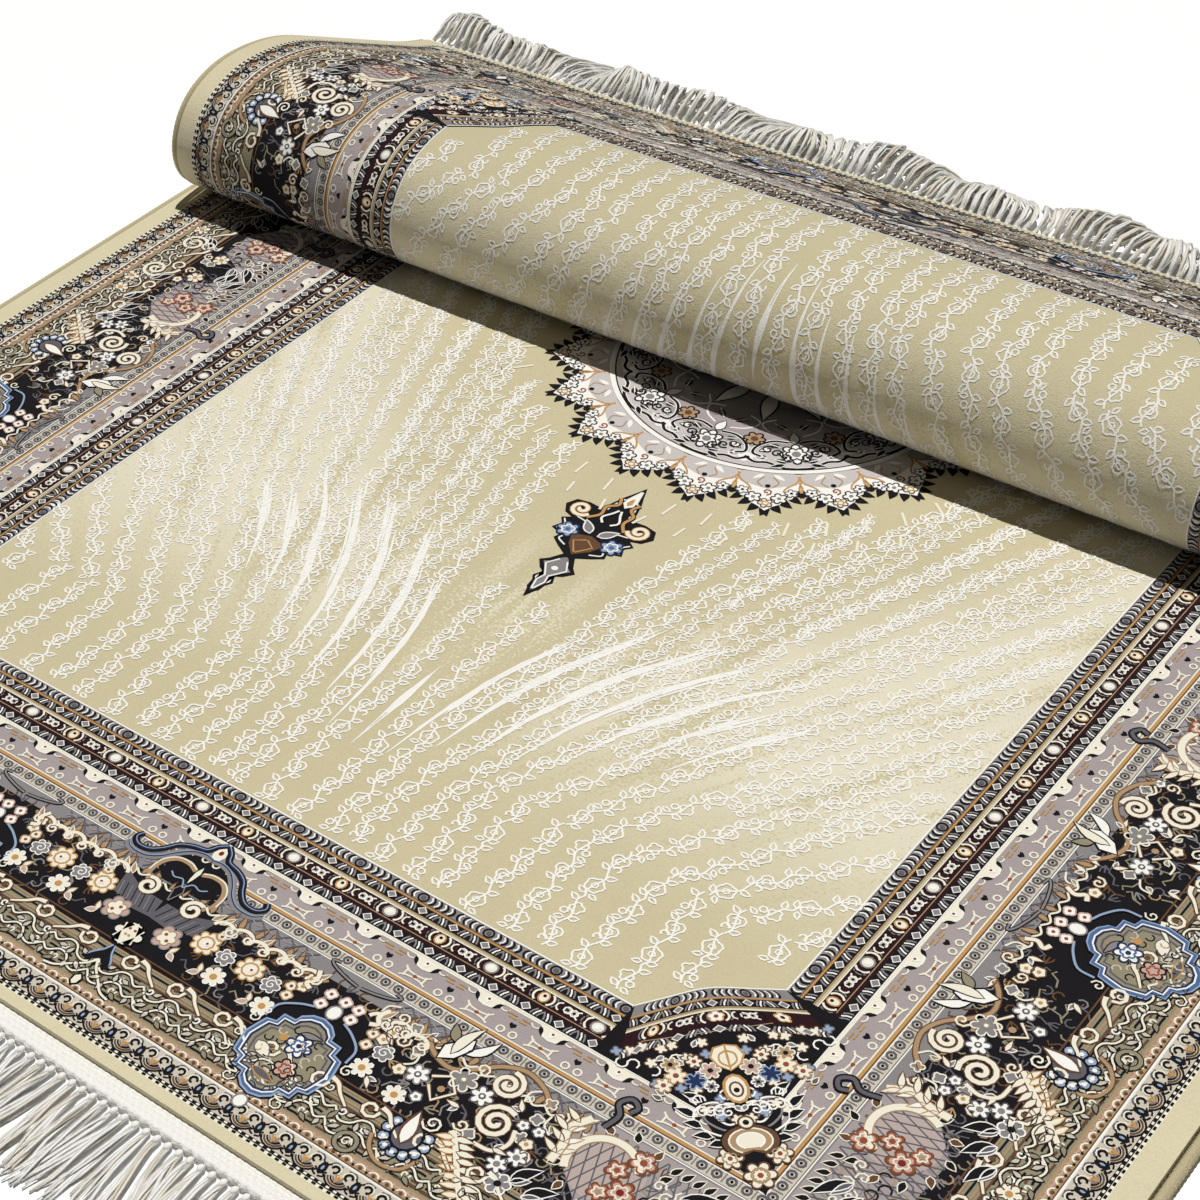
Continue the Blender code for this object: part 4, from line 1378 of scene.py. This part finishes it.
def palmette_of_disc():
    """One tenth of the medallion's inner disc, about the y axis."""
    m = Motif()
    for side in (-1, 1):
        m.edged(bow(flip(side, [(0, 0.117), (0.01, 0.1155), (0.02, 0.109), (0.0285, 0.108), (0.0345, 0.101)]), 4),
                0.0022, "black", "white", layer=3)
        m.edged(bow(flip(side, [(0.004, 0.087), (0.0145, 0.085), (0.025, 0.09), (0.029, 0.0975), (0.024, 0.102)]), 4),
                0.002, "black", "white", layer=4)
        for k in range(3):
            m.line(spiral_path(side * (0.0075 + 0.0055 * k), 0.1035 - 0.0045 * k, 0.0046, 1.3 * side, 90 + 60 * k),
                   0.0012, "black", 6)
        m.leaf(*flip(side, [(0.008, 0.112), (0.019, 0.1145)]), 0.0044, "black", "white", 5)
        m.leaf(*flip(side, [(0.016, 0.0935), (0.0245, 0.096)]), 0.0052, "white", "black", 5)
        m.line(bow(flip(side, [(0.006, 0.08), (0.016, 0.074), (0.02, 0.064), (0.01, 0.06)]), 4), 0.0013, "white", 3)
        m.line(spiral_path(side * 0.0115, 0.069, 0.005, 1.3 * side, 0), 0.001, "grey", 3)
    for side in (-1, 1):
        for base, tip, w in (((0.006, 0.109), (0.015, 0.106), 0.005), ((0.02, 0.104), (0.027, 0.1), 0.0046),
                             ((0.01, 0.092), (0.017, 0.088), 0.0046), ((0.004, 0.072), (0.012, 0.064), 0.005)):
            ends = flip(side, (base, tip))
            m.patch(leaf_outline(*ends, w), "black", 2)
            m.line(bow(ends, 3), 0.0009, "white", 3)
    m.bordered(petals(0, 0.1, 0.011, 8, 0.2), "white", "black", 0.0013, 4)
    m.line(petals(0, 0.1, 0.007, 6, 0.2), 0.0011, "black", 7, closed=True)
    m.patch(ring(0, 0.1, 0.0032, 8), "grey", 7)
    m.leaf((0, 0.088), (0, 0.075), 0.007, "white", "black", 5)
    return m


def make_medallion():
    """The medallion: bands of colour, the rim's lobes, the disc's tenths and a rosette in the middle."""
    m = Motif()
    for outer, inner, name in ((0.1215, 0.095, "pale"), (0.095, 0.07, "lilac"), (0.07, 0.045, "grey"),
                               (0.045, 0.02, "lilac")):
        m.line(ring(0, 0, (outer + inner) / 2, 90), outer - inner, name, 1, closed=True)
    m.patch(ring(0, 0, 0.1215, 90) * 0.17, "cream", 1)
    m.stamp(lobe_motif(), [(0, 0, 18 * k + 9, 1, 1) for k in range(20)])
    m.line(ring(0, 0, 0.1205, 90), 0.0036, "white", 8, closed=True)
    m.line(ring(0, 0, 0.1181, 90), 0.0009, "black", 8, closed=True)
    m.stamp(palmette_of_disc(), [(0, 0, 36 * k, 1, 1) for k in range(10)])
    between = Motif()
    between.bordered(petals(0, 0.086, 0.0075, 6, 0.25), "tan", "black", 0.0013, 5)
    between.patch(ring(0, 0.086, 0.0028, 7), "brown", 7)
    between.line(spiral_path(0.0085, 0.105, 0.005, 1.3, 0), 0.0011, "white", 4)
    between.line(spiral_path(-0.0085, 0.105, 0.005, -1.3, 180), 0.0011, "white", 4)
    between.patch(petals(0, 0.1075, 0.006, 5), "white", 3)
    between.bordered(leaf_outline((0, 0.03), (0, 0.064), 0.012), "white", "black", 0.0012, 3)
    m.stamp(between, [(0, 0, 36 * k + 18, 1, 1) for k in range(10)])
    m.flower(0, 0, 0.018, "cream", "brown", "gold", 10, 5)
    whole = Motif()
    whole.stamp(m, [(0, HALF_LENGTH, 0, 1, 1)])
    return weave("medallion", whole, mirror_x=False, mirror_y=False)


def make_pendants():
    """Half of one pendant, mirrored to the other half and to the rug's far end."""
    m = Motif()
    for part in (
        [(0, 0.4345), (0.003, 0.443), (0.0045, 0.445), (0.0052, 0.452), (0.0078, 0.456), (0.004, 0.464), (0, 0.464)],
        [(0, 0.46), (0.005, 0.4625), (0.009, 0.465), (0.014, 0.4715), (0.0095, 0.476), (0.0045, 0.485), (0, 0.485)],
        [(0, 0.482), (0.006, 0.486), (0.0125, 0.49), (0.02, 0.4955), (0.0185, 0.501), (0.0275, 0.504),
         (0.0245, 0.511), (0.0285, 0.516), (0.023, 0.52), (0, 0.52)],
        [(0, 0.518), (0.02, 0.519), (0.03, 0.5225), (0.0345, 0.53), (0.031, 0.538), (0.022, 0.54),
         (0.012, 0.539), (0, 0.539)],
        [(0, 0.537), (0.011, 0.537), (0.0105, 0.546), (0.0075, 0.556), (0.004, 0.564), (0, 0.574)],
    ):
        m.patch(part, "black", 2)
    for part in (
        [(0.0008, 0.445), (0.0032, 0.453), (0.005, 0.456), (0.0025, 0.462)],
        [(0.0095, 0.493), (0.0165, 0.4965), (0.016, 0.5)],
        [(0.0245, 0.505), (0.0222, 0.511), (0.0258, 0.516)],
        [(0.004, 0.518), (0.012, 0.521), (0.02, 0.5225)],
        [(0.0085, 0.54), (0.008, 0.546), (0.005, 0.556)],
    ):
        m.line(bow(part, 3), 0.0011, "white", 3)
    m.patch([(0, 0.442), (0.004, 0.453), (0.0022, 0.46), (0.0075, 0.468), (0.0105, 0.4715), (0.006, 0.4745),
             (0.0025, 0.481), (0, 0.483)], "grey", 4)
    m.line([(0.0004, 0.444), (0.003, 0.4535), (0.0012, 0.46), (0.008, 0.4705), (0.003, 0.479)], 0.0012, "white", 5)
    m.patch(ring(0.0002, 0.469, 0.0022, 8), "white", 6)
    m.patch([(0, 0.487), (0.0085, 0.496), (0.0125, 0.506), (0, 0.51)], "brown", 4)
    m.line([(0.0004, 0.49), (0.0075, 0.5), (0.0004, 0.505)], 0.0011, "gold", 5)
    m.bordered(petals(0.0172, 0.5075, 0.0078, 6, 0.25), "sky", "navy", 0.0013, 5)
    m.line(petals(0.0172, 0.5075, 0.0046, 5), 0.0011, "white", 7, closed=True)
    m.patch(ring(0.0172, 0.5075, 0.0018, 7), "blue", 8)
    m.bordered(leaf_outline((0.003, 0.512), (0.013, 0.523), 0.0065), "grey", "white", 0.001, 5)
    m.scroll(0.0225, 0.531, 0.0078, 1.5, 200, 0.0026, "cream", "gold", 5)
    m.edged(bow([(0.0145, 0.525), (0.009, 0.533), (0.0105, 0.542), (0.005, 0.548), (0.0075, 0.555)], 4), 0.0022,
            "gold", "black", layer=5)
    m.edged(bow([(0.003, 0.526), (0.0065, 0.531), (0.003, 0.538), (0.001, 0.543)], 4), 0.0016, "white", "black",
            layer=6)
    m.patch([(0, 0.547), (0.0042, 0.552), (0.0028, 0.56), (0, 0.569)], "white", 4)
    m.patch([(0, 0.55), (0.002, 0.553), (0.0012, 0.557), (0, 0.56)], "gold", 5)
    return weave("pendants", m)


FIELD_COLUMNS = (0.012, 0.034, 0.054, 0.073, 0.093, 0.115, 0.138, 0.161, 0.185, 0.209, 0.234, 0.261, 0.288)
FAN_START = 0.28  # the columns run straight up to here, then spread


def garland_units():
    """Three short lengths of garland along +y in thin outlines, each a blossom with leaves close to the stem."""
    width = 0.0011
    made = []
    for kind in range(3):
        m = Motif()
        lean = (1, -1, 1)[kind]
        m.line(bow([(0, 0), (0.0016 * lean, 0.0045), (0.0, 0.01), (-0.0016 * lean, 0.015), (0, 0.019)], 2), width,
               "white", 2)
        if kind == 0:
            m.line(petals(0.0002, 0.0085, 0.0052, 5, 0.2, 15, 0.5), width, "white", 2.5, closed=True)
            m.line(ring(0.0002, 0.0085, 0.0018, 5), width * 0.9, "white", 2.5, closed=True)
        elif kind == 1:
            m.line(petals(0.0, 0.0098, 0.005, 3, 0.22, 12, 0.5), width, "white", 2.5, closed=True)
            m.line(arc(0.0, 0.0098, 0.0022, 20, 290, 6), width, "white", 2.5)
            m.line(arc(0.0022, 0.0045, 0.002, -60, 200, 6), width, "white", 2.5)
        else:
            m.line(petals(0.0014, 0.01, 0.004, 4, 0.25, 12, 0.2), width, "white", 2.5, closed=True)
            m.line(ring(-0.0032, 0.006, 0.002, 6), width, "white", 2.5, closed=True)
        leaves = ((0.0015, 0.002, 0.0062, 0.0045, 0.0032), (-0.0015, 0.015, -0.0064, 0.018, 0.0032),
                  (-0.001, 0.002, -0.0058, 0.0005, 0.0028))
        for x, y, tx, ty, w in leaves[:2 if kind == 1 else 3]:
            m.line(leaf_outline((x * lean, y), (tx * lean, ty), w, 4), width, "white", 2, closed=True)
        made.append(m)
    return made


def column_place(base, y):
    """Where a column that starts at base has got to, further up the field."""
    spread = np.clip(y - FAN_START, 0, None)
    return base * (1 + spread / (FAN_START + 0.02)) + 0.05 * base * spread


def in_field(x, y):
    """Whether a place is on the open field, clear of the corner fan, the medallion and its pendant."""
    inside = abs(x) < 0.5 - FIELD_EDGE - 0.005 and y > FIELD_EDGE + 0.0005
    clear_of_fan = x + (0.5 - y) < 0.5 + 0.034 or x - (y - 0.1935) < 0.245
    corner = x > 0.235 and y < 0.262 and (x - 0.25) > (y - 0.206)
    centre = math.hypot(x, y - HALF_LENGTH) > 0.178
    pendant = not (x < 0.04 - 0.06 * abs(y - 0.52) and 0.43 < y < 0.585)
    return inside and clear_of_fan and not corner and centre and pendant


def chains():
    """Each garland's path up one quarter of the field, with the scale of its flowers."""
    found = []
    for k, base in enumerate(FIELD_COLUMNS):
        ys = np.arange(0.194, HALF_LENGTH + 0.001, 0.004)
        found.append((column_place(base, ys) + 0.0022 * np.sin(30 * ys + 2 * k), ys, 1.16))
    middles = [(a + b) / 2 for a, b in zip(FIELD_COLUMNS, FIELD_COLUMNS[1:])]
    for k, base in enumerate(middles[1:9]):
        ys = np.arange(0.345 + 0.018 * (k % 3), HALF_LENGTH + 0.001, 0.004)
        found.append((column_place(base, ys) + 0.0018 * np.sin(34 * ys + k), ys, 1.0))
    for k, base in enumerate(np.linspace(0.062, 0.15, 7)):
        ys = np.arange(0.5 + 0.02 * (k % 2), HALF_LENGTH + 0.001, 0.004)
        found.append((column_place(base, ys), ys, 0.9))
    return found


def make_field():
    """The garlands, one kind of length after another up each column."""
    m = Motif()
    places = ([], [], [])
    for number, (xs, ys, scale) in enumerate(chains()):
        run = np.concatenate([[0], np.cumsum(np.hypot(np.diff(xs), np.diff(ys)))])
        stops = np.arange(0.001 + 0.002 * (number % 3), run[-1], 0.019 * scale)
        for k, s in enumerate(stops):
            x, y = np.interp(s, run, xs), np.interp(s, run, ys)
            x2, y2 = np.interp(s + 0.01, run, xs), np.interp(s + 0.01, run, ys)
            if not in_field(x, y) or not in_field(x2, y2):
                continue
            turn = math.degrees(math.atan2(y2 - y, x2 - x)) - 90 if y2 > y else 0
            hand = 1 if (k + number) % 2 else -1
            places[(k + 2 * number) % 3].append((x, y, turn, scale * hand, scale))
    for unit, where in zip(garland_units(), places):
        m.stamp(unit, where)
    return weave("field_garlands", m)


STROKES = (
    # path of a bright brush stroke, pointed at its start and worn thin at its end, and its greatest width
    (((0.022, 0.268), (0.027, 0.32), (0.037, 0.372), (0.053, 0.425)), 0.0048),
    (((0.042, 0.29), (0.05, 0.345), (0.065, 0.4), (0.09, 0.462)), 0.0064),
    (((0.063, 0.295), (0.074, 0.35), (0.095, 0.408), (0.128, 0.468)), 0.007),
    (((0.085, 0.305), (0.099, 0.36), (0.124, 0.415), (0.158, 0.466)), 0.0058),
    (((0.0, 0.262), (0.001, 0.305), (0.0, 0.35)), 0.0014),
    (((0.109, 0.32), (0.127, 0.372), (0.156, 0.425), (0.19, 0.468)), 0.005),
    (((0.136, 0.34), (0.157, 0.388), (0.188, 0.436)), 0.0042),
    (((0.161, 0.352), (0.184, 0.396), (0.216, 0.44)), 0.0036),
)


def make_strokes():
    """Bright strokes with short worn streaks beside them, and dashes round the medallion."""
    m = Motif()
    rng = np.random.default_rng(11)
    for points, width in STROKES:
        path = bow(points, 16)
        share = np.linspace(0, 1, len(path))
        tangent = np.gradient(path, axis=0)
        side = np.stack([-tangent[:, 1], tangent[:, 0]], axis=1) / np.hypot(*tangent.T)[:, None]
        worn = 1 + 0.14 * np.sin(37 * share + 90 * width) + 0.08 * np.sin(71 * share)
        m.line(path, width * 1.15 * worn * share**0.7 * np.clip(2.6 * (1 - share), 0, 1) + 0.0003, "white", 1)
        for k in range(5):
            first = rng.integers(len(path) // 4, len(path) - 12)
            last = min(first + rng.integers(9, 18), len(path))
            off = (0.9 * (k % 2) - 0.45 + rng.uniform(-0.3, 0.3)) * width
            part = path[first:last] + side[first:last] * off
            m.line(part, 0.0017 * np.sin(math.pi * np.linspace(0.1, 0.9, len(part))), "white", 1.5)
    for k in range(14):
        a = math.radians(90 - 13 * k / 1.6)
        for r0, r1, bend in ((0.176, 0.19, 0.0), (0.197, 0.208, 0.06)):
            if k % 4 == 0 and bend:
                continue
            b = a + bend
            m.line([(r0 * math.cos(b), HALF_LENGTH - r0 * math.sin(b)),
                    (r1 * math.cos(b + 0.02), HALF_LENGTH - r1 * math.sin(b + 0.02))], 0.0018, "cream", 3)
    return weave("field_strokes", m)


# ---------------------------------------------------------------- bindings, headings and fringes

def plain_fibre(name, colour, pitch, strength, sheen=0.1):
    """Cotton or binding yarn: fine fibres, and threads of this pitch in millimetres."""
    material, nodes = new_material(name, colour, 0.85, sheen)
    place = nodes.add("TexCoord").outputs["Object"]
    scaled = nodes.add("VectorMath", {0: place, 1: (1000, 1000, 1000)}, operation="MULTIPLY").outputs[0]
    fibre = nodes.add("TexNoise", {"Vector": scaled, "Scale": 1.4, "Detail": 4.0, "Roughness": 0.7})
    thread = nodes.add("TexVoronoi", {"Vector": scaled, "Scale": 1.0 / pitch, "Randomness": 0.5})
    height = nodes.math("SUBTRACT", fibre.outputs[0], thread.outputs["Distance"])
    bump = nodes.add("Bump", {"Height": height, "Strength": strength, "Distance": 0.0006})
    nodes.put(nodes.shader.inputs["Normal"], bump.outputs[0])
    return material


def tubes(paths, radii, sides=3):
    """Closed tubes along many paths of one length. paths is (tubes, stations, 3), radii (tubes, stations)."""
    count, stations, _ = paths.shape
    tangent = np.gradient(paths, axis=1)
    tangent /= np.linalg.norm(tangent, axis=2, keepdims=True) + 1e-12
    up = np.broadcast_to((0.05, 0.1, 1.0), paths.shape)
    right = np.cross(tangent, up)
    right /= np.linalg.norm(right, axis=2, keepdims=True) + 1e-9
    up = np.cross(right, tangent)
    turn = math.pi / 6 + np.arange(sides) * 2 * math.pi / sides  # a three-sided strand has its flat side up
    around = np.cos(turn)[:, None] * right[:, :, None] + np.sin(turn)[:, None] * up[:, :, None]
    rings = paths[:, :, None] + radii[:, :, None, None] * around
    a, b = strips(stations, sides)
    one = np.concatenate([np.stack([a, a + sides, b + sides], axis=1), np.stack([a, b + sides, b], axis=1)])
    last = (stations - 1) * sides
    fan = [(j, j + 1) for j in range(1, sides - 1)]
    caps = [(0, j, k) for j, k in fan] + [(last, last + k, last + j) for j, k in fan]
    one = np.vstack([one, caps])
    faces = (one[None] + (np.arange(count) * stations * sides)[:, None, None]).reshape(-1, 3)
    return rings.reshape(-1, 3), faces, len(one)


def make_binding(name, side, material):
    """Overcast yarn round the cord of one long edge: slanting wraps, each a low ridge."""
    along = np.arange(-GUARD * UNIT, (DESIGN_LENGTH + GUARD) * UNIT, 0.00115)
    sides = 6
    turn = np.arange(sides) * 2 * math.pi / sides
    phase = along[:, None] / 0.0036 * 2 * math.pi + side * turn[None]
    wrap = BINDING_RADIUS * (0.955 + 0.045 * np.sin(phase))
    middle = side * (BINDING_MIDDLE + 0.0002)
    across = middle + wrap * np.cos(turn)
    raised = wrap * np.sin(turn)
    world = folded(across.ravel(), np.repeat(along, sides), raised.ravel())
    a, b = strips(len(along), sides)
    faces = np.stack([b, b + sides, a + sides, a] if side > 0 else [a + sides, b + sides, b, a], axis=1)
    return make_object(name, world, faces, None, [material], smooth=True)


HEADING_PROFILE = (
    # share of the tape's depth, share of its half thickness: once round, the top first
    (0.0, -0.6), (0.0, 0.7), (0.1, 0.95), (0.2, 0.55), (0.32, 0.95), (0.44, 0.55), (0.56, 0.95), (0.68, 0.55),
    (0.8, 0.95), (0.93, 0.75), (1.0, 0.0), (0.94, -0.8), (0.5, -0.9),
)


def make_heading(name, start, way, material):
    """The cotton web beyond the pile: rows of stitches, and a scalloped outer edge. way is -1 at the near end."""
    across = np.arange(-0.4995, 0.4996, 0.0014)
    depth, height = np.array(HEADING_PROFILE).T
    stitch = np.sin(across / 0.0044 * 2 * math.pi)[:, None]
    offset = np.sin(across / 0.0044 * 2 * math.pi + math.pi)[:, None]
    row = (np.arange(len(depth)) % 4 < 2)[None]
    swell = 1 + 0.16 * np.where(row, stitch, offset) * (height[None] > 0.5)
    scallop = 0.05 * np.sin(across / 0.0072 * 2 * math.pi)[:, None] * (depth[None] > 0.8)
    along = start + way * (HEADING_DEPTH * depth[None] * (1 + scallop))
    raised = -HEADING_LOWERED + 0.0024 * height[None] * swell
    world = folded(np.repeat(across, len(depth)), along.ravel(), raised.ravel())
    count = len(depth)
    a, b = strips(len(across), count)
    faces = np.stack([a, a + count, b + count, b], axis=1)
    if way > 0:
        faces = faces[:, ::-1]
    return make_object(name, world, faces, None, [material], smooth=True)


def tassel_roots():
    """Where each tassel starts across the rug, and its length."""
    pitch = 1.0 / (TASSEL_COUNT - 1 + 0.7)
    index = np.arange(TASSEL_COUNT)
    waves = np.sin(0.37 * index) + 0.6 * np.sin(1.13 * index + 0.8) + 0.4 * np.sin(2.9 * index)
    return -0.5 + (index + 0.35) * pitch, TASSEL_LENGTH + 0.0025 * waves


def make_fringe(name, start, way, far, materials):
    """Tassels of loose plied strands, each gathered by a knot at the heading's edge."""
    rng = np.random.default_rng(21 if far else 8)
    strands, stations = (12, 6) if far else (8, 9)
    root, length = tassel_roots()
    shape = (TASSEL_COUNT, strands, 1)
    t = np.linspace(0, 1, stations)[None, None]
    index = np.arange(TASSEL_COUNT)[:, None, None]
    reach = length[:, None, None] * rng.uniform(0.82, 1.03, shape)
    lean = 0.01 * np.sin(0.31 * index) + 0.007 * np.sin(0.83 * index + 1.0)
    lean = lean + rng.normal(0, 0.0025, (TASSEL_COUNT, 1, 1))
    spread = rng.normal(0, 0.0034, shape)
    wave = rng.uniform(0.0006, 0.0024, shape) * np.sin(rng.uniform(3, 8, shape) * t + rng.uniform(0, 6.3, shape))
    across = root[:, None, None] + rng.uniform(-0.0011, 0.0011, shape) * (1 - t) + lean * t**1.4 + spread * t**0.9
    across = across + wave * t
    gone = reach * t
    lift = rng.uniform(0.0, 1.0, shape)
    if far:
        clump = np.sin(0.24 * index + 0.6) * 0.6 + np.sin(0.57 * index) * 0.4
        swing = 0.024 * np.sin(0.3 * index + 2.2) * t**1.5 + 0.006 * np.sin(5.5 * t + 0.5 * index + 2 * lift) * t
        across = across - (lean * 0.6 + spread * 0.5) * t + swing
        hump = (0.015 + 0.007 * clump) * np.sin(math.pi * np.clip(t * 1.02, 0, 1)) ** 0.8
        raised = -0.001 + hump * (0.45 + 0.75 * lift) + 0.0012 * np.sin(8 * t + 6 * lift)
        gone = gone * (1 - 0.26 * t * (1 + 0.5 * clump))
    else:
        hump = 0.003 * lift * np.sin(math.pi * t)
        raised = -0.0016 - 0.0014 * t + hump + 0.0004 * np.sin(11 * t + 6 * lift)
    along = start + way * (0.0016 + gone)
    across, along, raised = np.broadcast_arrays(across, along, raised)
    paths = folded(across.ravel(), along.ravel(), raised.ravel()).reshape(-1, stations, 3)
    radius = (1.35 if far else 1.15) * rng.uniform(0.00078, 0.00118, shape) * (1 - 0.5 * t**3) + 0 * across
    radius = radius.reshape(-1, stations)
    paths[:, :, 2] = np.maximum(paths[:, :, 2], radius + 0.0002)
    points, faces, each = tubes(paths, radius)
    slots = np.repeat(rng.choice(3, TASSEL_COUNT * strands, p=(0.66, 0.27, 0.07)), each)
    knots, rings = 6, np.linspace(0, 1, 6)
    knot_along = start + way * (0.0002 + 0.0046 * rings)
    knot_path = folded(np.repeat(root, knots), np.tile(knot_along, TASSEL_COUNT),
                       np.tile(-0.0012 + 0.0004 * np.sin(math.pi * rings), TASSEL_COUNT)).reshape(-1, knots, 3)
    swell = 0.0009 + 0.0011 * np.sin(math.pi * rings) ** 0.7
    more, more_faces, _ = tubes(knot_path, np.tile(swell, (TASSEL_COUNT, 1)), 7)
    faces = np.concatenate([faces, more_faces + len(points)])
    slots = np.concatenate([slots, np.zeros(len(more_faces), int)])
    print(name, len(faces), "triangles")
    return make_object(name, np.concatenate([points, more]), faces, slots, materials, smooth=True)


def make_ends():
    """Every end piece with the CAD node it stands for and its slot."""
    web = plain_fibre("cotton_web", (252, 250, 245), 1.6, 0.9)
    beige = plain_fibre("binding_yarn", (198, 186, 150), 1.1, 0.8)
    tones = [plain_fibre("cotton_white", (255, 254, 250), 1.0, 0.4, 1.0),
             plain_fibre("cotton_cream", (246, 240, 226), 1.0, 0.4, 1.0),
             plain_fibre("cotton_grey", (228, 219, 200), 1.0, 0.4, 0.6)]
    gap = 0.0003
    near, far = -GUARD * UNIT - gap, (DESIGN_LENGTH + GUARD) * UNIT + gap
    return (
        (make_binding("left_wrap", -1, beige), "left_binding", "binding"),
        (make_binding("right_wrap", 1, beige), "right_binding", "binding"),
        (make_heading("near_web", near, -1, web), "near_heading", "cotton"),
        (make_heading("far_web", far, 1, web), "far_heading", "cotton"),
        (make_fringe("near_tassels", near - HEADING_DEPTH - gap, -1, False, tones), "near_fringe", "cotton"),
        (make_fringe("far_tassels", far + HEADING_DEPTH + gap, 1, True, tones), "far_fringe", "cotton"),
    )


# ---------------------------------------------------------------- camera, light and floor

CAMERA_PLACE = (0.7404, -0.576, 1.0182)  # design widths from the design's origin, height above the pile
CAMERA_RIGHT = (0.7645, 0.6424, -0.0543)
CAMERA_UP = (-0.3776, 0.5145, 0.7699)
FOCAL = 76.34
SHIFT = (0.2469, 0.0174)
FLOOR = 60.0  # half the floor's width, in metres


def make_camera():
    """The camera, with its lens shifted as the frame is a part of a wider view."""
    data = bpy.data.cameras.new("camera")
    data.lens = FOCAL
    data.sensor_width = 36.0
    data.shift_x, data.shift_y = SHIFT
    camera = link("camera", data)
    right = Vector(CAMERA_RIGHT).normalized()
    back = right.cross(Vector(CAMERA_UP)).normalized()
    up = back.cross(right)
    camera.matrix_world = Matrix((right, up, back)).transposed().to_4x4()
    camera.location = Vector(CAMERA_PLACE) * UNIT + Vector((ORIGIN[0], ORIGIN[1], THICKNESS))
    bpy.context.scene.camera = camera


def make_lights():
    """A hard key high over the rug, leaning a little from behind the roll, and an even white fill."""
    sun = bpy.data.lights.new("key", "SUN")
    sun.energy = 3.2
    sun.angle = math.radians(0.8)
    sun.color = (1.0, 0.985, 0.95)
    key = link("key", sun)
    towards = Vector((-0.1, 0.16, 1.0))
    key.rotation_euler = towards.to_track_quat("Z", "Y").to_euler()
    world = bpy.data.worlds.new("fill")
    world.use_nodes = True
    background = world.node_tree.nodes["Background"]
    background.inputs["Color"].default_value = (1.0, 1.0, 1.0, 1.0)
    # the backdrop looks as pale as the floor, but gives only a faint fill
    nodes, links = world.node_tree.nodes, world.node_tree.links
    seen = nodes.new("ShaderNodeLightPath").outputs["Is Camera Ray"]
    strength = nodes.new("ShaderNodeMath")
    strength.operation = "MULTIPLY_ADD"
    links.new(seen, strength.inputs[0])
    strength.inputs[1].default_value = 0.8
    strength.inputs[2].default_value = 0.05
    links.new(strength.outputs[0], background.inputs["Strength"])
    bpy.context.scene.world = world
    bpy.context.scene.view_settings.view_transform = "Standard"


def make_floor():
    material, _ = new_material("floor", (255, 255, 255), 1.0, 0.0)
    corners = [(FLOOR * x, FLOOR * y, 0) for x, y in ((-1, -1), (1, -1), (1, 1), (-1, 1))]
    floor = make_object("floor", corners, [(0, 1, 2, 3)], None, [material])
    floor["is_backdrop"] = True


def main():
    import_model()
    low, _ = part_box("carpet")
    ORIGIN[0] = low[0] + EDGE * UNIT
    ORIGIN[1] = low[1] + GUARD * UNIT
    make_camera()
    make_lights()
    make_floor()
    carpet = make_carpet()
    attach(carpet, "root")
    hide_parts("carpet")
    drawn = [make() for make in (make_guards, make_stripes, make_border, make_side_border, make_fans, make_medallion,
                                 make_pendants, make_strokes, make_field)]
    for piece in drawn:
        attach(piece, "root")
    for piece, node, slot in make_ends():
        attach(piece, "root")
        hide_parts(node)
        drawn.append(piece)
    low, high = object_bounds()


main()
